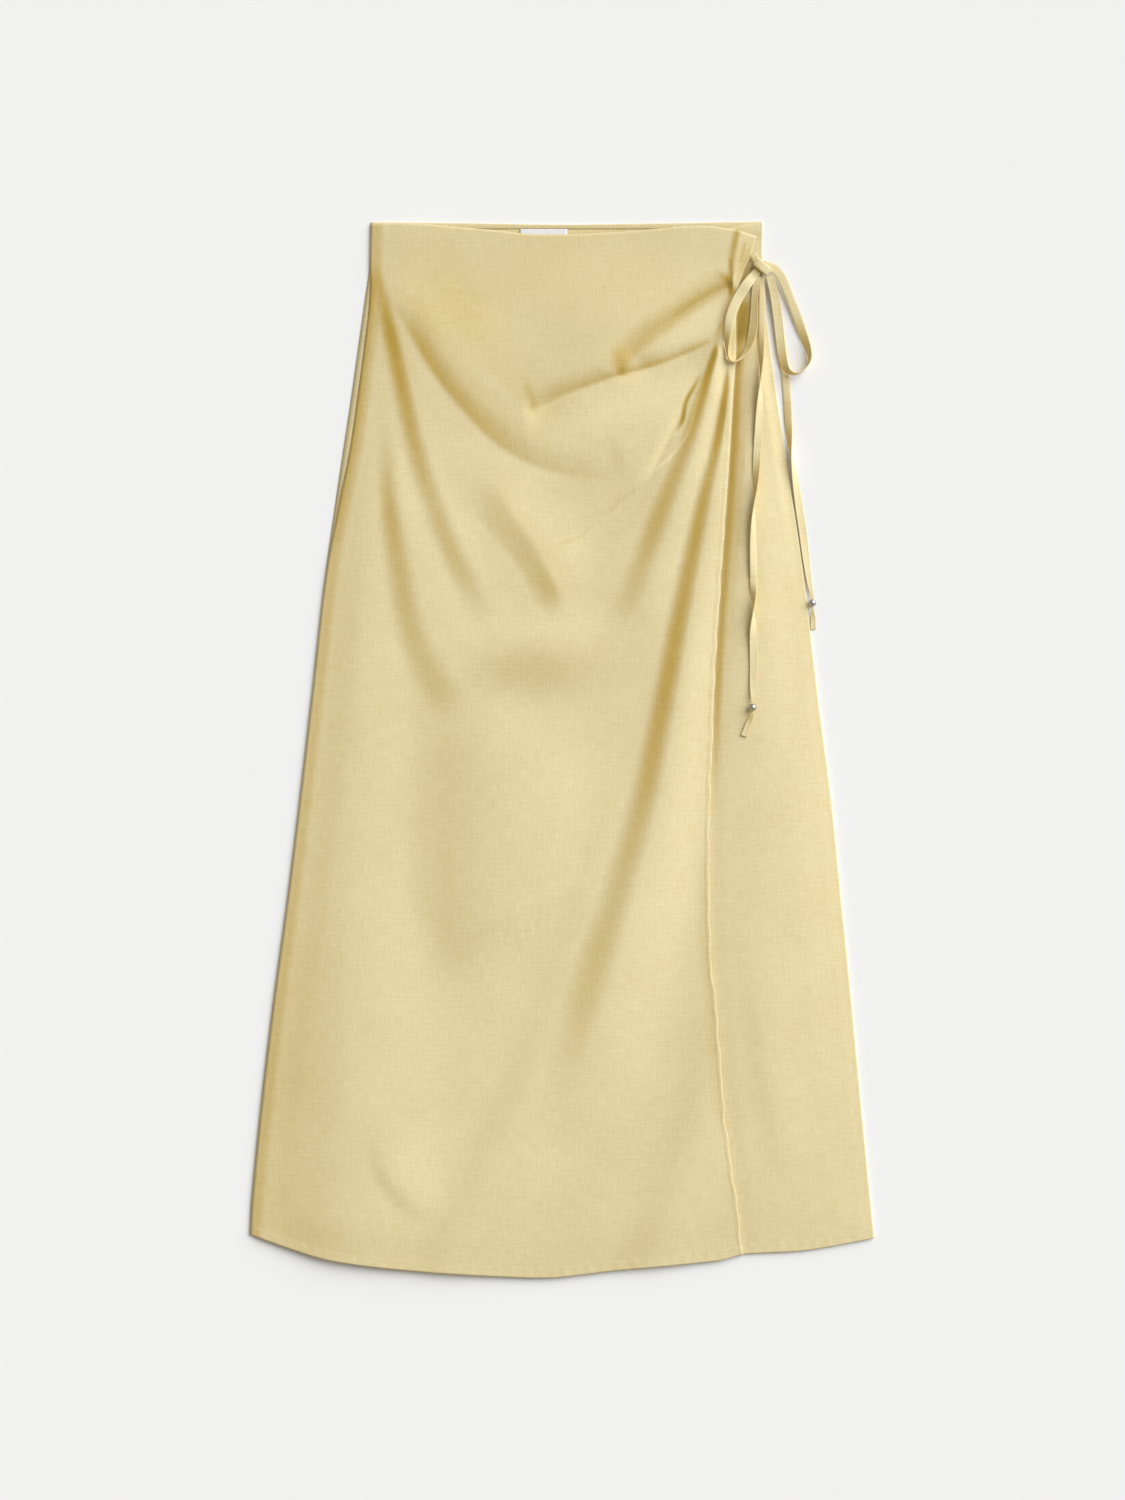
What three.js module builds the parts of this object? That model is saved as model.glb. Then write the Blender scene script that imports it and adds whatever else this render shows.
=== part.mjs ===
// A wrap skirt of butter-yellow linen, laid flat on its back panel with the bow side to the right.
// Millimetres, +Z up, +Y towards the waist. The origin is under the middle of the laid-out skirt.
// Places on the skirt are given as x, across from its middle, and down, the distance below the waist.

import * as THREE from "three";

// Driving dimensions
const SKIRT_LENGTH = 949.5; // waist to the lowest point of the hem
const CLOTH = 1.5; // wall of a panel, its turned edges and seam allowances taken in
const SEAM_GAP = 0.3; // between two pieces that are sewn or lie together
const TRIM = 1; // the waist facing and the label
const FACING_BOTTOM = 6.4; // how far down the waist facing reaches
const SEAM_RISE = 12; // the front climbs on to the panel beneath it over this width
const TIE = 1.2; // thickness of a tie, a strip sewn double
const LINE_STEPS = 5; // steps of a fold's smooth curve between two of its points
const BEAD_RADIUS = 3.5;
const BEAD_BORE = 1.8; // radius of the bead's hole
const KNOT = { x: 179.6, down: 41.4, across: 6.4, along: 6.8, high: 4.2 };

const WAIST_Y = SKIRT_LENGTH / 2;
const BACK_TOP = CLOTH;
const UNDER_BASE = BACK_TOP + SEAM_GAP;

const LINEN = { color: 0xddcc9c, roughness: 0.85, metalness: 0 };
const LINEN_TIE = { color: 0xe0cf9f, roughness: 0.8, metalness: 0 };
const LABEL_CLOTH = { color: 0xe9ebee, roughness: 0.6, metalness: 0 };
const SILVER = { color: 0xb9b9b4, roughness: 0.28, metalness: 1 };

// The skirt's two side edges when it lies flat, and the left seam where the wrap front is sewn on
const SIDES = [
  { down: 0, left: -171.9, seam: -171.9, right: 180 },
  { down: 36, left: -172.8, seam: -172.6, right: 180 },
  { down: 70, left: -177.3, seam: -173, right: 181.8 },
  { down: 115, left: -183.6, seam: -178.2, right: 187.2 },
  { down: 160, left: -189.9, seam: -184.2, right: 193.2 },
  { down: 205, left: -196.7, seam: -190.8, right: 200.4 },
  { down: 250, left: -203.4, seam: -199.8, right: 207.2 },
  { down: 318, left: -212.9, seam: -212.4, right: 217.2 },
  { down: 430, left: -225.3, seam: -225.3, right: 230.4 },
  { down: 520, left: -235.8, seam: -235.8, right: 242.1 },
  { down: 610, left: -246.9, seam: -246.9, right: 251.1 },
  { down: 700, left: -259.2, seam: -259.2, right: 260.1 },
  { down: 790, left: -270, seam: -270, right: 268.5 },
  { down: 880, left: -279, seam: -279, right: 277.2 },
  { down: 914.4, left: -280.8, seam: -280.8, right: 280.8 },
];

// The free edge of the wrap front, from the waist down to its corner at the hem
const WRAP_EDGE = [
  { down: 13.5, x: 174.6 },
  { down: 29.7, x: 170.1 },
  { down: 41.4, x: 164.7 },
  { down: 61.2, x: 158.4 },
  { down: 81, x: 156.4 },
  { down: 120.6, x: 156.2 },
  { down: 151, x: 153.9 },
  { down: 232, x: 149 },
  { down: 304, x: 144 },
  { down: 400, x: 137.7 },
  { down: 484, x: 134.5 },
  { down: 565, x: 132.3 },
  { down: 664, x: 134.1 },
  { down: 700, x: 138.2 },
  { down: 793, x: 145.6 },
  { down: 825, x: 149 },
  { down: 891, x: 158.4 },
  { down: 928.8, x: 162.5 },
];

// Top edges: the back panel, the wrap front and the under front beneath it
const BACK_WAIST = [
  { x: -171.9, down: 0.5 },
  { x: -90, down: 1.3 },
  { x: 0, down: 2.7 },
  { x: 90, down: 1.5 },
  { x: 180, down: 0 },
];
const WRAP_WAIST = [
  { x: -171.9, down: 1.8 },
  { x: -134, down: 1.7 },
  { x: -97, down: 4.9 },
  { x: -56, down: 8.5 },
  { x: -31.5, down: 11.4 },
  { x: 4.5, down: 11.8 },
  { x: 40.5, down: 10.3 },
  { x: 88, down: 6.7 },
  { x: 106, down: 4.9 },
  { x: 130.5, down: 4.5 },
  { x: 155, down: 7.8 },
  { x: 174.6, down: 13.5 },
];
const UNDER_WAIST = [
  { x: -156, down: 20 },
  { x: 40, down: 19 },
  { x: 110, down: 13 },
  { x: 140, down: 8 },
  { x: 161, down: 3.2 },
  { x: 171, down: 1.1 },
  { x: 180, down: 0.2 },
];

// The hem from the left corner to the right one. The fronts reach it and the back stays just short.
const HEM = [
  { x: -280.8, down: 910.8 },
  { x: -239.4, down: 925.2 },
  { x: -207, down: 934.2 },
  { x: -136.8, down: 943.2 },
  { x: -37.8, down: 949.5 },
  { x: -6.3, down: 949.5 },
  { x: 48.6, down: 943.2 },
  { x: 141.3, down: 934.2 },
  { x: 162.5, down: 928.8 },
  { x: 218.7, down: 925.2 },
  { x: 280.8, down: 914.4 },
];
const BACK_HEM_SHORT = 3;
const UNDER_HEM_SHORT = 5; // only where the wrap front covers it

// Folds of the wrap front. Each follows a line, and rises from foot to crest and dies away at end:
// distances across the line, plus on the left hand of someone walking along it.
// start and finish are the shares of the line over which it grows and fades.
// spread is how much wider it is at the far end. creased says which turn is a crease.
// A fold with a height below zero is a hollow, such as one between two pleats.
const WRAP_FOLDS = [
  {
    name: "left side roll", foot: 0, crest: 14, end: 40, height: 6,
    start: 0.75, finish: 0.01, spread: 5, creased: "none",
    line: [[-188, 110], [-202, 200], [-214, 300], [-225, 430], [-247, 610], [-260, 700], [-270, 790],
      [-283, 940]],
  },
  {
    name: "hip drape", foot: -4.5, crest: 8, end: 60, height: 6.5,
    start: 0.2, finish: 0.36, spread: 2.6, creased: "none",
    line: [[-175, 30], [-165, 58], [-160, 90], [-154, 122], [-143, 178], [-128, 235], [-104, 300],
      [-77, 352], [-66, 375]],
  },
  {
    name: "upper swag", foot: -2, crest: 14, end: 56, height: 4.2,
    start: 0.24, finish: 0.35, spread: 1.9, creased: "foot",
    line: [[-160, 62], [-140, 92], [-114, 136], [-84, 173], [-52, 203], [-17, 220], [25, 226],
      [60, 221]],
  },
  {
    name: "middle swag", foot: -2, crest: 30, end: 110, height: 4.4,
    start: 0.18, finish: 0.2, spread: 0.5, creased: "both",
    line: [[-98, 228], [-80, 255], [-62, 280], [-45, 300], [-28, 325], [-15, 343], [0, 357]],
  },
  {
    name: "long left drape", foot: -2, crest: 13, end: 50, height: 5,
    start: 0.14, finish: 0.25, spread: 3, creased: "none",
    line: [[-166, 150], [-166, 240], [-163, 290], [-152, 365], [-137, 412], [-112, 460]],
  },
  {
    name: "low left hollow", foot: 0, crest: 70, end: 170, height: 5.5,
    start: 0.35, finish: 0.25, spread: 0.75, creased: "none",
    line: [[-143, 390], [-142, 470], [-140, 590], [-128, 645], [-110, 684], [-80, 725]],
  },
  {
    name: "low left swag", foot: 0, crest: 16, end: 60, height: 1.8,
    start: 0.4, finish: 0.4, spread: 1, creased: "foot",
    line: [[-181, 800], [-174, 838], [-164, 866], [-147, 886], [-126, 900], [-94, 910]],
  },
  {
    name: "swag end", foot: -10, crest: 2, end: 30, height: 0.7,
    start: 0.4, finish: 0.4, spread: 1, creased: "none",
    line: [[36, 190], [50, 201], [55, 218], [50, 238]],
  },
  {
    name: "gathered drape", foot: -5.5, crest: 5.5, end: 20, height: 6.5,
    start: 0.1, finish: 0.35, spread: 4.2, creased: "none",
    line: [[141, 108], [132, 138], [124, 162], [109, 207], [86, 262], [64, 322], [51, 350], [34, 374],
      [8, 396]],
  },
  {
    name: "long edge drape", foot: -6, crest: 6, end: 26, height: 9,
    start: 0.1, finish: 0.24, spread: 4.6, creased: "none",
    line: [[148, 140], [137, 205], [126, 250], [107, 340], [90, 430], [71, 520], [46, 610], [17, 700],
      [-9, 780], [-28, 835]],
  },
  {
    name: "low edge drape", foot: -16, crest: 14, end: 50, height: 2.6,
    start: 0.4, finish: 0.05, spread: 1.4, creased: "none",
    line: [[129, 610], [126, 700], [119, 750], [109, 800], [92, 850], [66, 925], [44, 990]],
  },
  {
    name: "low middle drape", foot: -40, crest: -8, end: 60, height: 2.6,
    start: 0.35, finish: 0.1, spread: 1.2, creased: "none",
    line: [[12, 700], [-10, 760], [-35, 815], [-58, 860], [-84, 925], [-104, 985]],
  },
  {
    name: "first pleat hollow", foot: -46, crest: 0, end: 24, height: -6.5,
    start: 0.2, finish: 0.1, spread: 0.7, creased: "crest",
    line: [[44, 141], [58, 122], [72, 108], [90, 95], [108, 82], [122, 72], [140, 61], [152, 53]],
  },
  {
    name: "second pleat hollow", foot: -60, crest: 0, end: 20, height: -5.5,
    start: 0.25, finish: 0.15, spread: 0.6, creased: "crest",
    line: [[-36, 172], [-24, 169], [0, 157], [25, 148], [50, 139], [81, 131], [108, 121], [143, 105]],
  },
  {
    name: "third pleat hollow", foot: -30, crest: 0, end: 12, height: -2.5,
    start: 0.35, finish: 0.25, spread: 0.6, creased: "crest",
    line: [[-8, 291], [10, 287], [25, 276], [45, 259], [75, 234], [96, 195], [112, 165], [130, 134]],
  },
  {
    name: "gathered edge", foot: -5, crest: 3, end: 40, height: 4.5,
    start: 0.02, finish: 0.12, spread: 1, creased: "crest",
    line: [[157, 6], [153, 30], [151, 50], [149, 70], [143, 92], [136, 112]],
  },
];

// Folds of the under front, all outside the wrap front
const UNDER_FOLDS = [
  {
    name: "lower ridge", foot: -24, crest: 0, end: 40, height: 1.2,
    start: 0.35, finish: 0.35, spread: 1, creased: "none",
    line: [[170, 620], [180, 720], [196, 820], [210, 880]],
  },
];

// Wide, soft mounds under the folds: the middle of each, how far it reaches and its height
const WRAP_MOUNDS = [
  { name: "yoke", x: 40, down: 110, halfWide: 210, halfLong: 110, height: 9 },
  { name: "below the pleats", x: 70, down: 215, halfWide: 110, halfLong: 90, height: 6 },
  { name: "lowest swag", x: -12, down: 386, halfWide: 92, halfLong: 56, height: 5 },
  { name: "below the swags", x: 0, down: 570, halfWide: 90, halfLong: 150, height: 4 },
];
const UNDER_MOUNDS = [
  { name: "under the ties", x: 176, down: 260, halfWide: 42, halfLong: 300, height: 2.5 },
];
const EDGE_HOLLOW = { clear: 2.5, width: 8, height: 3, from: 50, full: 120, ending: 400, to: 560 };

// Ties. lift is the height above what the tie lies on, and roll turns it about its own length in degrees.
const TIE_STRAP = [
  { x: 169.6, down: 28, lift: 0, roll: 0, width: 7 },
  { x: 172.4, down: 31.4, lift: 0.4, roll: 0, width: 7 },
  { x: 175, down: 35.2, lift: 1.2, roll: 0, width: 6.5 },
];
const BOW_LOOP_LEFT = [
  { x: 174.2, down: 47.2, lift: 3.6, roll: 0, width: 7.5 },
  { x: 169.2, down: 53.1, lift: 2, roll: 0, width: 9 },
  { x: 161.6, down: 63.9, lift: 0.4, roll: 0, width: 9.5 },
  { x: 154.6, down: 75.2, lift: 0, roll: 0, width: 9.5 },
  { x: 149.8, down: 88.2, lift: 0, roll: 6, width: 9.5 },
  { x: 147.4, down: 101, lift: 0, roll: 30, width: 9.2 },
  { x: 146.6, down: 113, lift: 0, roll: 64, width: 9 },
  { x: 149, down: 121.9, lift: 0, roll: 86, width: 9 },
  { x: 154.5, down: 125.1, lift: 0, roll: 95, width: 9 },
  { x: 160.6, down: 121.2, lift: 0, roll: 112, width: 9 },
  { x: 166.2, down: 111.6, lift: 0, roll: 140, width: 9 },
  { x: 169.4, down: 97.2, lift: 0, roll: 156, width: 8.5 },
  { x: 170.4, down: 81, lift: 0, roll: 158, width: 7.5 },
  { x: 171.2, down: 66.6, lift: 0.4, roll: 160, width: 6.6 },
  { x: 173.4, down: 55, lift: 1.6, roll: 172, width: 5.6 },
  { x: 175.6, down: 49.8, lift: 2.4, roll: 180, width: 4.6 },
];
const BOW_LOOP_RIGHT = [
  { x: 187, down: 42, lift: 6.6, roll: 0, width: 8 },
  { x: 191.7, down: 43.9, lift: 5.6, roll: 0, width: 9 },
  { x: 198.4, down: 51.3, lift: 4.2, roll: 0, width: 9 },
  { x: 205.2, down: 66.6, lift: 2.6, roll: 0, width: 8.6 },
  { x: 211.4, down: 85.5, lift: 1.4, roll: 6, width: 8.4 },
  { x: 216.2, down: 99.9, lift: 0.6, roll: 22, width: 8.4 },
  { x: 220.8, down: 113.4, lift: 0, roll: 48, width: 8.4 },
  { x: 222.8, down: 124.2, lift: 0, roll: 76, width: 8.4 },
  { x: 218, down: 133, lift: 0, roll: 90, width: 8.4 },
  { x: 209.6, down: 137.3, lift: 1.2, roll: 98, width: 8.4 },
  { x: 202.4, down: 134, lift: 2, roll: 124, width: 8.4 },
  { x: 198.8, down: 124.2, lift: 2, roll: 154, width: 8 },
  { x: 196.4, down: 108, lift: 2, roll: 172, width: 8 },
  { x: 194, down: 86, lift: 2.6, roll: 180, width: 8.4 },
  { x: 190.8, down: 66, lift: 4.2, roll: 180, width: 8 },
  { x: 186.6, down: 50.4, lift: 6.4, roll: 180, width: 6.6 },
];
const TIE_TAIL_LEFT = [
  { x: 179.4, down: 49.6, lift: 0.2, roll: 0, width: 5 },
  { x: 180, down: 70, lift: 0, roll: 0, width: 5.8 },
  { x: 179.6, down: 92, lift: 0, roll: 8, width: 6 },
  { x: 179.1, down: 115, lift: 0, roll: 36, width: 6.4 },
  { x: 178.6, down: 137, lift: 0, roll: 82, width: 6.6 },
  { x: 177.3, down: 167, lift: 0, roll: 148, width: 6.8 },
  { x: 175.8, down: 196, lift: 0, roll: 172, width: 7 },
  { x: 174.6, down: 219, lift: 0, roll: 200, width: 7 },
  { x: 173.5, down: 241, lift: 0, roll: 244, width: 6.8 },
  { x: 171.8, down: 265, lift: 0, roll: 296, width: 6.8 },
  { x: 171.5, down: 291, lift: 0, roll: 334, width: 6.8 },
  { x: 171.9, down: 318, lift: 0, roll: 352, width: 6.8 },
  { x: 171.9, down: 343, lift: 0, roll: 430, width: 6.8 },
  { x: 171.6, down: 369, lift: 0, roll: 515, width: 7 },
  { x: 172, down: 394, lift: 0, roll: 538, width: 7 },
  { x: 171.3, down: 418, lift: 0.6, roll: 540, width: 5.4 },
  { x: 171, down: 431, lift: BEAD_RADIUS - TIE / 2, roll: 540, width: 2.4 },
  { x: 171, down: 437, lift: BEAD_RADIUS - TIE / 2, roll: 540, width: 2.4 },
  { x: 171, down: 443, lift: BEAD_RADIUS - TIE / 2, roll: 540, width: 2.4 },
  { x: 167.6, down: 451, lift: 0.8, roll: 540, width: 4.6 },
  { x: 163.4, down: 463, lift: 0, roll: 540, width: 6 },
];
const TIE_TAIL_RIGHT = [
  { x: 185, down: 49, lift: 4, roll: 0, width: 5 },
  { x: 188.6, down: 58, lift: 2.4, roll: 0, width: 7 },
  { x: 193.2, down: 78, lift: 0.8, roll: 0, width: 7.6 },
  { x: 196.4, down: 101, lift: 0, roll: 0, width: 7.6 },
  { x: 199.4, down: 124, lift: 0, roll: 0, width: 7.4 },
  { x: 201.6, down: 144, lift: 0, roll: 2, width: 7.2 },
  { x: 202.8, down: 162, lift: 0, roll: 14, width: 7.2 },
  { x: 203.8, down: 183, lift: 0, roll: 26, width: 7.2 },
  { x: 205.6, down: 208, lift: 0, roll: 84, width: 7.2 },
  { x: 209.4, down: 230, lift: 0, roll: 140, width: 7.2 },
  { x: 213, down: 255, lift: 0, roll: 164, width: 7.2 },
  { x: 217, down: 282, lift: 0, roll: 170, width: 7.2 },
  { x: 219.6, down: 304, lift: 0, roll: 164, width: 6.4 },
  { x: 222.6, down: 325, lift: 0.6, roll: 170, width: 4.6 },
  { x: 225, down: 337, lift: BEAD_RADIUS - TIE / 2, roll: 180, width: 2.4 },
  { x: 225, down: 343, lift: BEAD_RADIUS - TIE / 2, roll: 180, width: 2.4 },
  { x: 225, down: 349, lift: BEAD_RADIUS - TIE / 2, roll: 180, width: 2.4 },
  { x: 225.8, down: 356, lift: 0.8, roll: 180, width: 4 },
  { x: 226, down: 367, lift: 0, roll: 180, width: 5 },
];

function mix(from, to, share) {
  return from + (to - from) * share;
}

function smooth(share) {
  const s = Math.min(Math.max(share, 0), 1);
  return s * s * (3 - 2 * s);
}

// The value of one column where another has a given value, on a smooth curve through the rows
function read(rows, key, column, at) {
  const last = rows.length - 1;
  let i = 0;
  while (i < last - 1 && at > rows[i + 1][key]) i += 1;
  const slope = (a, b) => (rows[b][column] - rows[a][column]) / (rows[b][key] - rows[a][key]);
  const span = rows[i + 1][key] - rows[i][key];
  const t = Math.min(Math.max((at - rows[i][key]) / span, 0), 1);
  const leaving = slope(Math.max(i - 1, 0), i + 1) * span;
  const arriving = slope(i, Math.min(i + 2, last)) * span;
  const rise = rows[i + 1][column] - rows[i][column];
  const bend = t * t * (3 * rise - 2 * leaving - arriving) + t * t * t * (leaving + arriving - 2 * rise);
  return rows[i][column] + t * leaving + bend;
}

function spaced(from, to, count) {
  return Array.from({ length: count }, (_, i) => mix(from, to, i / count));
}

// More points on the smooth curve through a fold's few
function rounded(line) {
  const curve = new THREE.SplineCurve(line.map(([x, down]) => new THREE.Vector2(x, down)));
  return curve.getPoints((line.length - 1) * LINE_STEPS).map(({ x, y }) => [x, y]);
}

// The nearest point of a fold's line: the signed distance across it and the share of the way along it
function nearestOnLine(line, x, down) {
  let best = { distance: Infinity, across: 0, along: 0 };
  const pieces = line.length - 1;
  for (let i = 0; i < pieces; i += 1) {
    const [ax, ad] = line[i];
    const [bx, bd] = line[i + 1];
    const [dx, dy] = [bx - ax, ad - bd];
    const [px, py] = [x - ax, ad - down];
    const t = Math.min(Math.max((px * dx + py * dy) / (dx * dx + dy * dy), 0), 1);
    const distance = Math.hypot(px - t * dx, py - t * dy);
    if (distance < best.distance) {
      const side = Math.sign(dx * py - dy * px) || 1;
      best = { distance, across: side * distance, along: (i + t) / pieces };
    }
  }
  return best;
}

for (const fold of [...WRAP_FOLDS, ...UNDER_FOLDS]) fold.curve = rounded(fold.line);

// Height of one fold at a place on the panel
function foldHeight(fold, x, down) {
  const { across, along } = nearestOnLine(fold.curve, x, down);
  const width = mix(1, fold.spread, along);
  const toCrest = (across / width - fold.foot) / (fold.crest - fold.foot);
  const pastCrest = (across / width - fold.crest) / (fold.end - fold.crest);
  if (toCrest <= 0 || pastCrest >= 1) return 0;
  const taper = smooth(along / fold.start) * smooth((1 - along) / fold.finish);
  if (toCrest < 1) {
    const rise = {
      foot: Math.sin((toCrest * Math.PI) / 2),
      crest: 1 - Math.cos((toCrest * Math.PI) / 2),
      both: mix(smooth(toCrest), toCrest, 0.8),
      none: smooth(toCrest),
    };
    return fold.height * taper * rise[fold.creased];
  }
  const sharp = fold.creased === "crest" || fold.creased === "both";
  return fold.height * taper * (sharp ? 1 - Math.sin((pastCrest * Math.PI) / 2) : 1 - smooth(pastCrest));
}

function moundHeight(mound, x, down) {
  const reach = Math.hypot((x - mound.x) / mound.halfWide, (down - mound.down) / mound.halfLong);
  return mound.height * (1 - smooth(reach));
}

// The folds and mounds together, kept softly above the layer beneath
function foldsAt(folds, mounds, x, down) {
  const sum = folds.reduce((total, fold) => total + foldHeight(fold, x, down), 0)
    + mounds.reduce((total, mound) => total + moundHeight(mound, x, down), 0);
  return (sum + Math.hypot(sum, 1)) / 2;
}

// Over the waist facing the fronts lie a little higher near the bow, the wrap front from sooner on
function waistLift(x, down, sooner) {
  const across = smooth((x + sooner - 96) / 24);
  const upwards = smooth((17 + sooner - down) / (16 - FACING_BOTTOM));
  return (TRIM + SEAM_GAP) * across * upwards;
}

// The under front comes up steeply out of the hollow at the wrap's free edge
function besideWrap(pastEdge, down) {
  const { height, from, full, ending, to } = EDGE_HOLLOW;
  const along = smooth((down - from) / (full - from)) * smooth((to - down) / (to - ending));
  const up = Math.sin((Math.min(Math.max(pastEdge, 0), 1) * Math.PI) / 2);
  return height * along * up * smooth((10 - pastEdge) / 9);
}

function underBottom(x, down) {
  const fromSeam = smooth((read(SIDES, "down", "right", down) - x) / SEAM_RISE);
  const pastEdge = x - read(WRAP_EDGE, "down", "x", down) - EDGE_HOLLOW.clear;
  const folds = smooth(pastEdge / 15) * foldsAt(UNDER_FOLDS, UNDER_MOUNDS, x, down);
  const raised = folds + besideWrap(pastEdge / EDGE_HOLLOW.width, down);
  return UNDER_BASE + waistLift(x, down, 0) + fromSeam * raised;
}

function wrapBottom(x, down) {
  const fromSeam = smooth((x - read(SIDES, "down", "seam", down)) / SEAM_RISE);
  const lying = UNDER_BASE + fromSeam * (CLOTH + SEAM_GAP) + waistLift(x, down, 8);
  return lying + fromSeam * foldsAt(WRAP_FOLDS, WRAP_MOUNDS, x, down);
}

// Height of whatever a tie would lie on at a place: the wrap front, the under front or the floor
function groundUnderTie(x, down) {
  if (x > read(SIDES, "down", "right", down) + SEAM_GAP) return 0;
  if (x > read(WRAP_EDGE, "down", "x", down) + SEAM_GAP) return underBottom(x, down) + CLOTH;
  return wrapBottom(x, down) + CLOTH;
}

// A point inside four edges: top and hem are rows by x, left and right are rows by down
function insideEdges(edges, u, v) {
  const { top, hem, left, right } = edges;
  const across = (rows) => {
    const x = mix(rows[0].x, rows[rows.length - 1].x, u);
    return [x, read(rows, "x", "down", x)];
  };
  const along = (rows) => {
    const down = mix(rows[0].down, rows[rows.length - 1].down, v);
    return [read(rows, "down", "x", down), down];
  };
  const [t, h, l, r] = [across(top), across(hem), along(left), along(right)];
  const corner = (row) => [row.x, row.down];
  const [tl, tr] = [corner(top[0]), corner(top[top.length - 1])];
  const [hl, hr] = [corner(hem[0]), corner(hem[hem.length - 1])];
  return [0, 1].map((k) => mix(t[k], h[k], v) + mix(l[k], r[k], u)
    - mix(mix(tl[k], tr[k], u), mix(hl[k], hr[k], u), v));
}

// Rows of an edge table between two values, with its own points at both ends
function cutRows(rows, key, column, from, to, shift = 0) {
  const at = (value) => ({ [key]: value, [column]: read(rows, key, column, value) + shift });
  const inner = rows.filter((row) => row[key] > from && row[key] < to).map((row) => at(row[key]));
  return [at(from), ...inner, at(to)];
}

function sideRows(column, from, to) {
  return cutRows(SIDES, "down", column, from, to).map((row) => ({ down: row.down, x: row[column] }));
}

function named(geometry, name, finish) {
  const mesh = new THREE.Mesh(geometry, new THREE.MeshStandardMaterial(finish));
  mesh.name = name;
  return mesh;
}

function geometryOf(points, triangles) {
  const geometry = new THREE.BufferGeometry();
  geometry.setAttribute("position", new THREE.Float32BufferAttribute(points.flat(), 3));
  geometry.setIndex(triangles.flat());
  geometry.computeVertexNormals();
  return geometry;
}

// A cloth wall: a grid of places seen from above, each with its underside and its top
function clothWall(name, finish, grid, bottomAt, thickness) {
  const rows = grid.length;
  const columns = grid[0].length;
  const flat = grid.flat();
  const lower = flat.map(([x, down]) => [x, WAIST_Y - down, bottomAt(x, down)]);
  const upper = lower.map(([x, y, z]) => [x, y, z + thickness]);
  const under = upper.length;
  const triangles = [];
  for (let i = 0; i < rows - 1; i += 1) {
    for (let j = 0; j < columns - 1; j += 1) {
      const a = i * columns + j;
      const [b, c, d] = [a + 1, a + columns + 1, a + columns];
      triangles.push([a, d, c], [a, c, b]);
      triangles.push([under + a, under + c, under + d], [under + a, under + b, under + c]);
    }
  }
  const rim = [];
  for (let i = 0; i < rows - 1; i += 1) rim.push(i * columns);
  for (let j = 0; j < columns - 1; j += 1) rim.push((rows - 1) * columns + j);
  for (let i = rows - 1; i > 0; i -= 1) rim.push(i * columns + columns - 1);
  for (let j = columns - 1; j > 0; j -= 1) rim.push(j);
  rim.forEach((a, k) => {
    const b = rim[(k + 1) % rim.length];
    triangles.push([a, under + a, under + b], [a, under + b, b]);
  });
  return named(geometryOf([...upper, ...lower], triangles), name, finish);
}

// Rows of places, from the waist down, across one patch or several side by side
function gridOf(patches, downShares) {
  const rowAt = (v) => patches.flatMap(({ edges, shares }) => shares.map((u) => insideEdges(edges, u, v)));
  return downShares.map(rowAt);
}

// The back panel lies flat on the floor and reaches both sides
function backPanel() {
  const hemLeft = { x: HEM[0].x, down: HEM[0].down - BACK_HEM_SHORT };
  const hemRight = { x: HEM[HEM.length - 1].x, down: HEM[HEM.length - 1].down - BACK_HEM_SHORT };
  const between = (first, rows, last) => [first, ...rows.slice(1, -1), last];
  const [waistLeft, waistRight] = [BACK_WAIST[0], BACK_WAIST[BACK_WAIST.length - 1]];
  const edges = {
    top: BACK_WAIST,
    hem: HEM.map(({ x, down }) => ({ x, down: down - BACK_HEM_SHORT })),
    left: between(waistLeft, sideRows("left", waistLeft.down, hemLeft.down), hemLeft),
    right: between(waistRight, sideRows("right", waistRight.down, hemRight.down), hemRight),
  };
  const grid = gridOf([{ edges, shares: [...spaced(0, 1, 12), 1] }], [...spaced(0, 1, 16), 1]);
  return clothWall("back_panel", LINEN, grid, () => 0, CLOTH);
}

// The overlocked facing along the inside of the back waist, and the bare label below it
function waistFacing() {
  const [from, to] = [-157, 172];
  const top = cutRows(BACK_WAIST, "x", "down", from, to, SEAM_GAP);
  const bottom = top.map(({ x }) => ({ x, down: FACING_BOTTOM }));
  const shares = [...spaced(0, 1, 16), 1];
  const grid = [top, bottom].map((rows) => shares.map((u) => {
    const x = mix(from, to, u);
    return [x, read(rows, "x", "down", x)];
  }));
  return clothWall("waist_facing", LINEN, grid, () => UNDER_BASE, TRIM);
}

function label() {
  const [left, right, top, bottom] = [-37.8, 4.5, FACING_BOTTOM + SEAM_GAP, 17];
  const grid = [top, bottom].map((down) => [left, right].map((x) => [x, down]));
  return clothWall("label", LABEL_CLOTH, grid, () => UNDER_BASE, TRIM);
}

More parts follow.
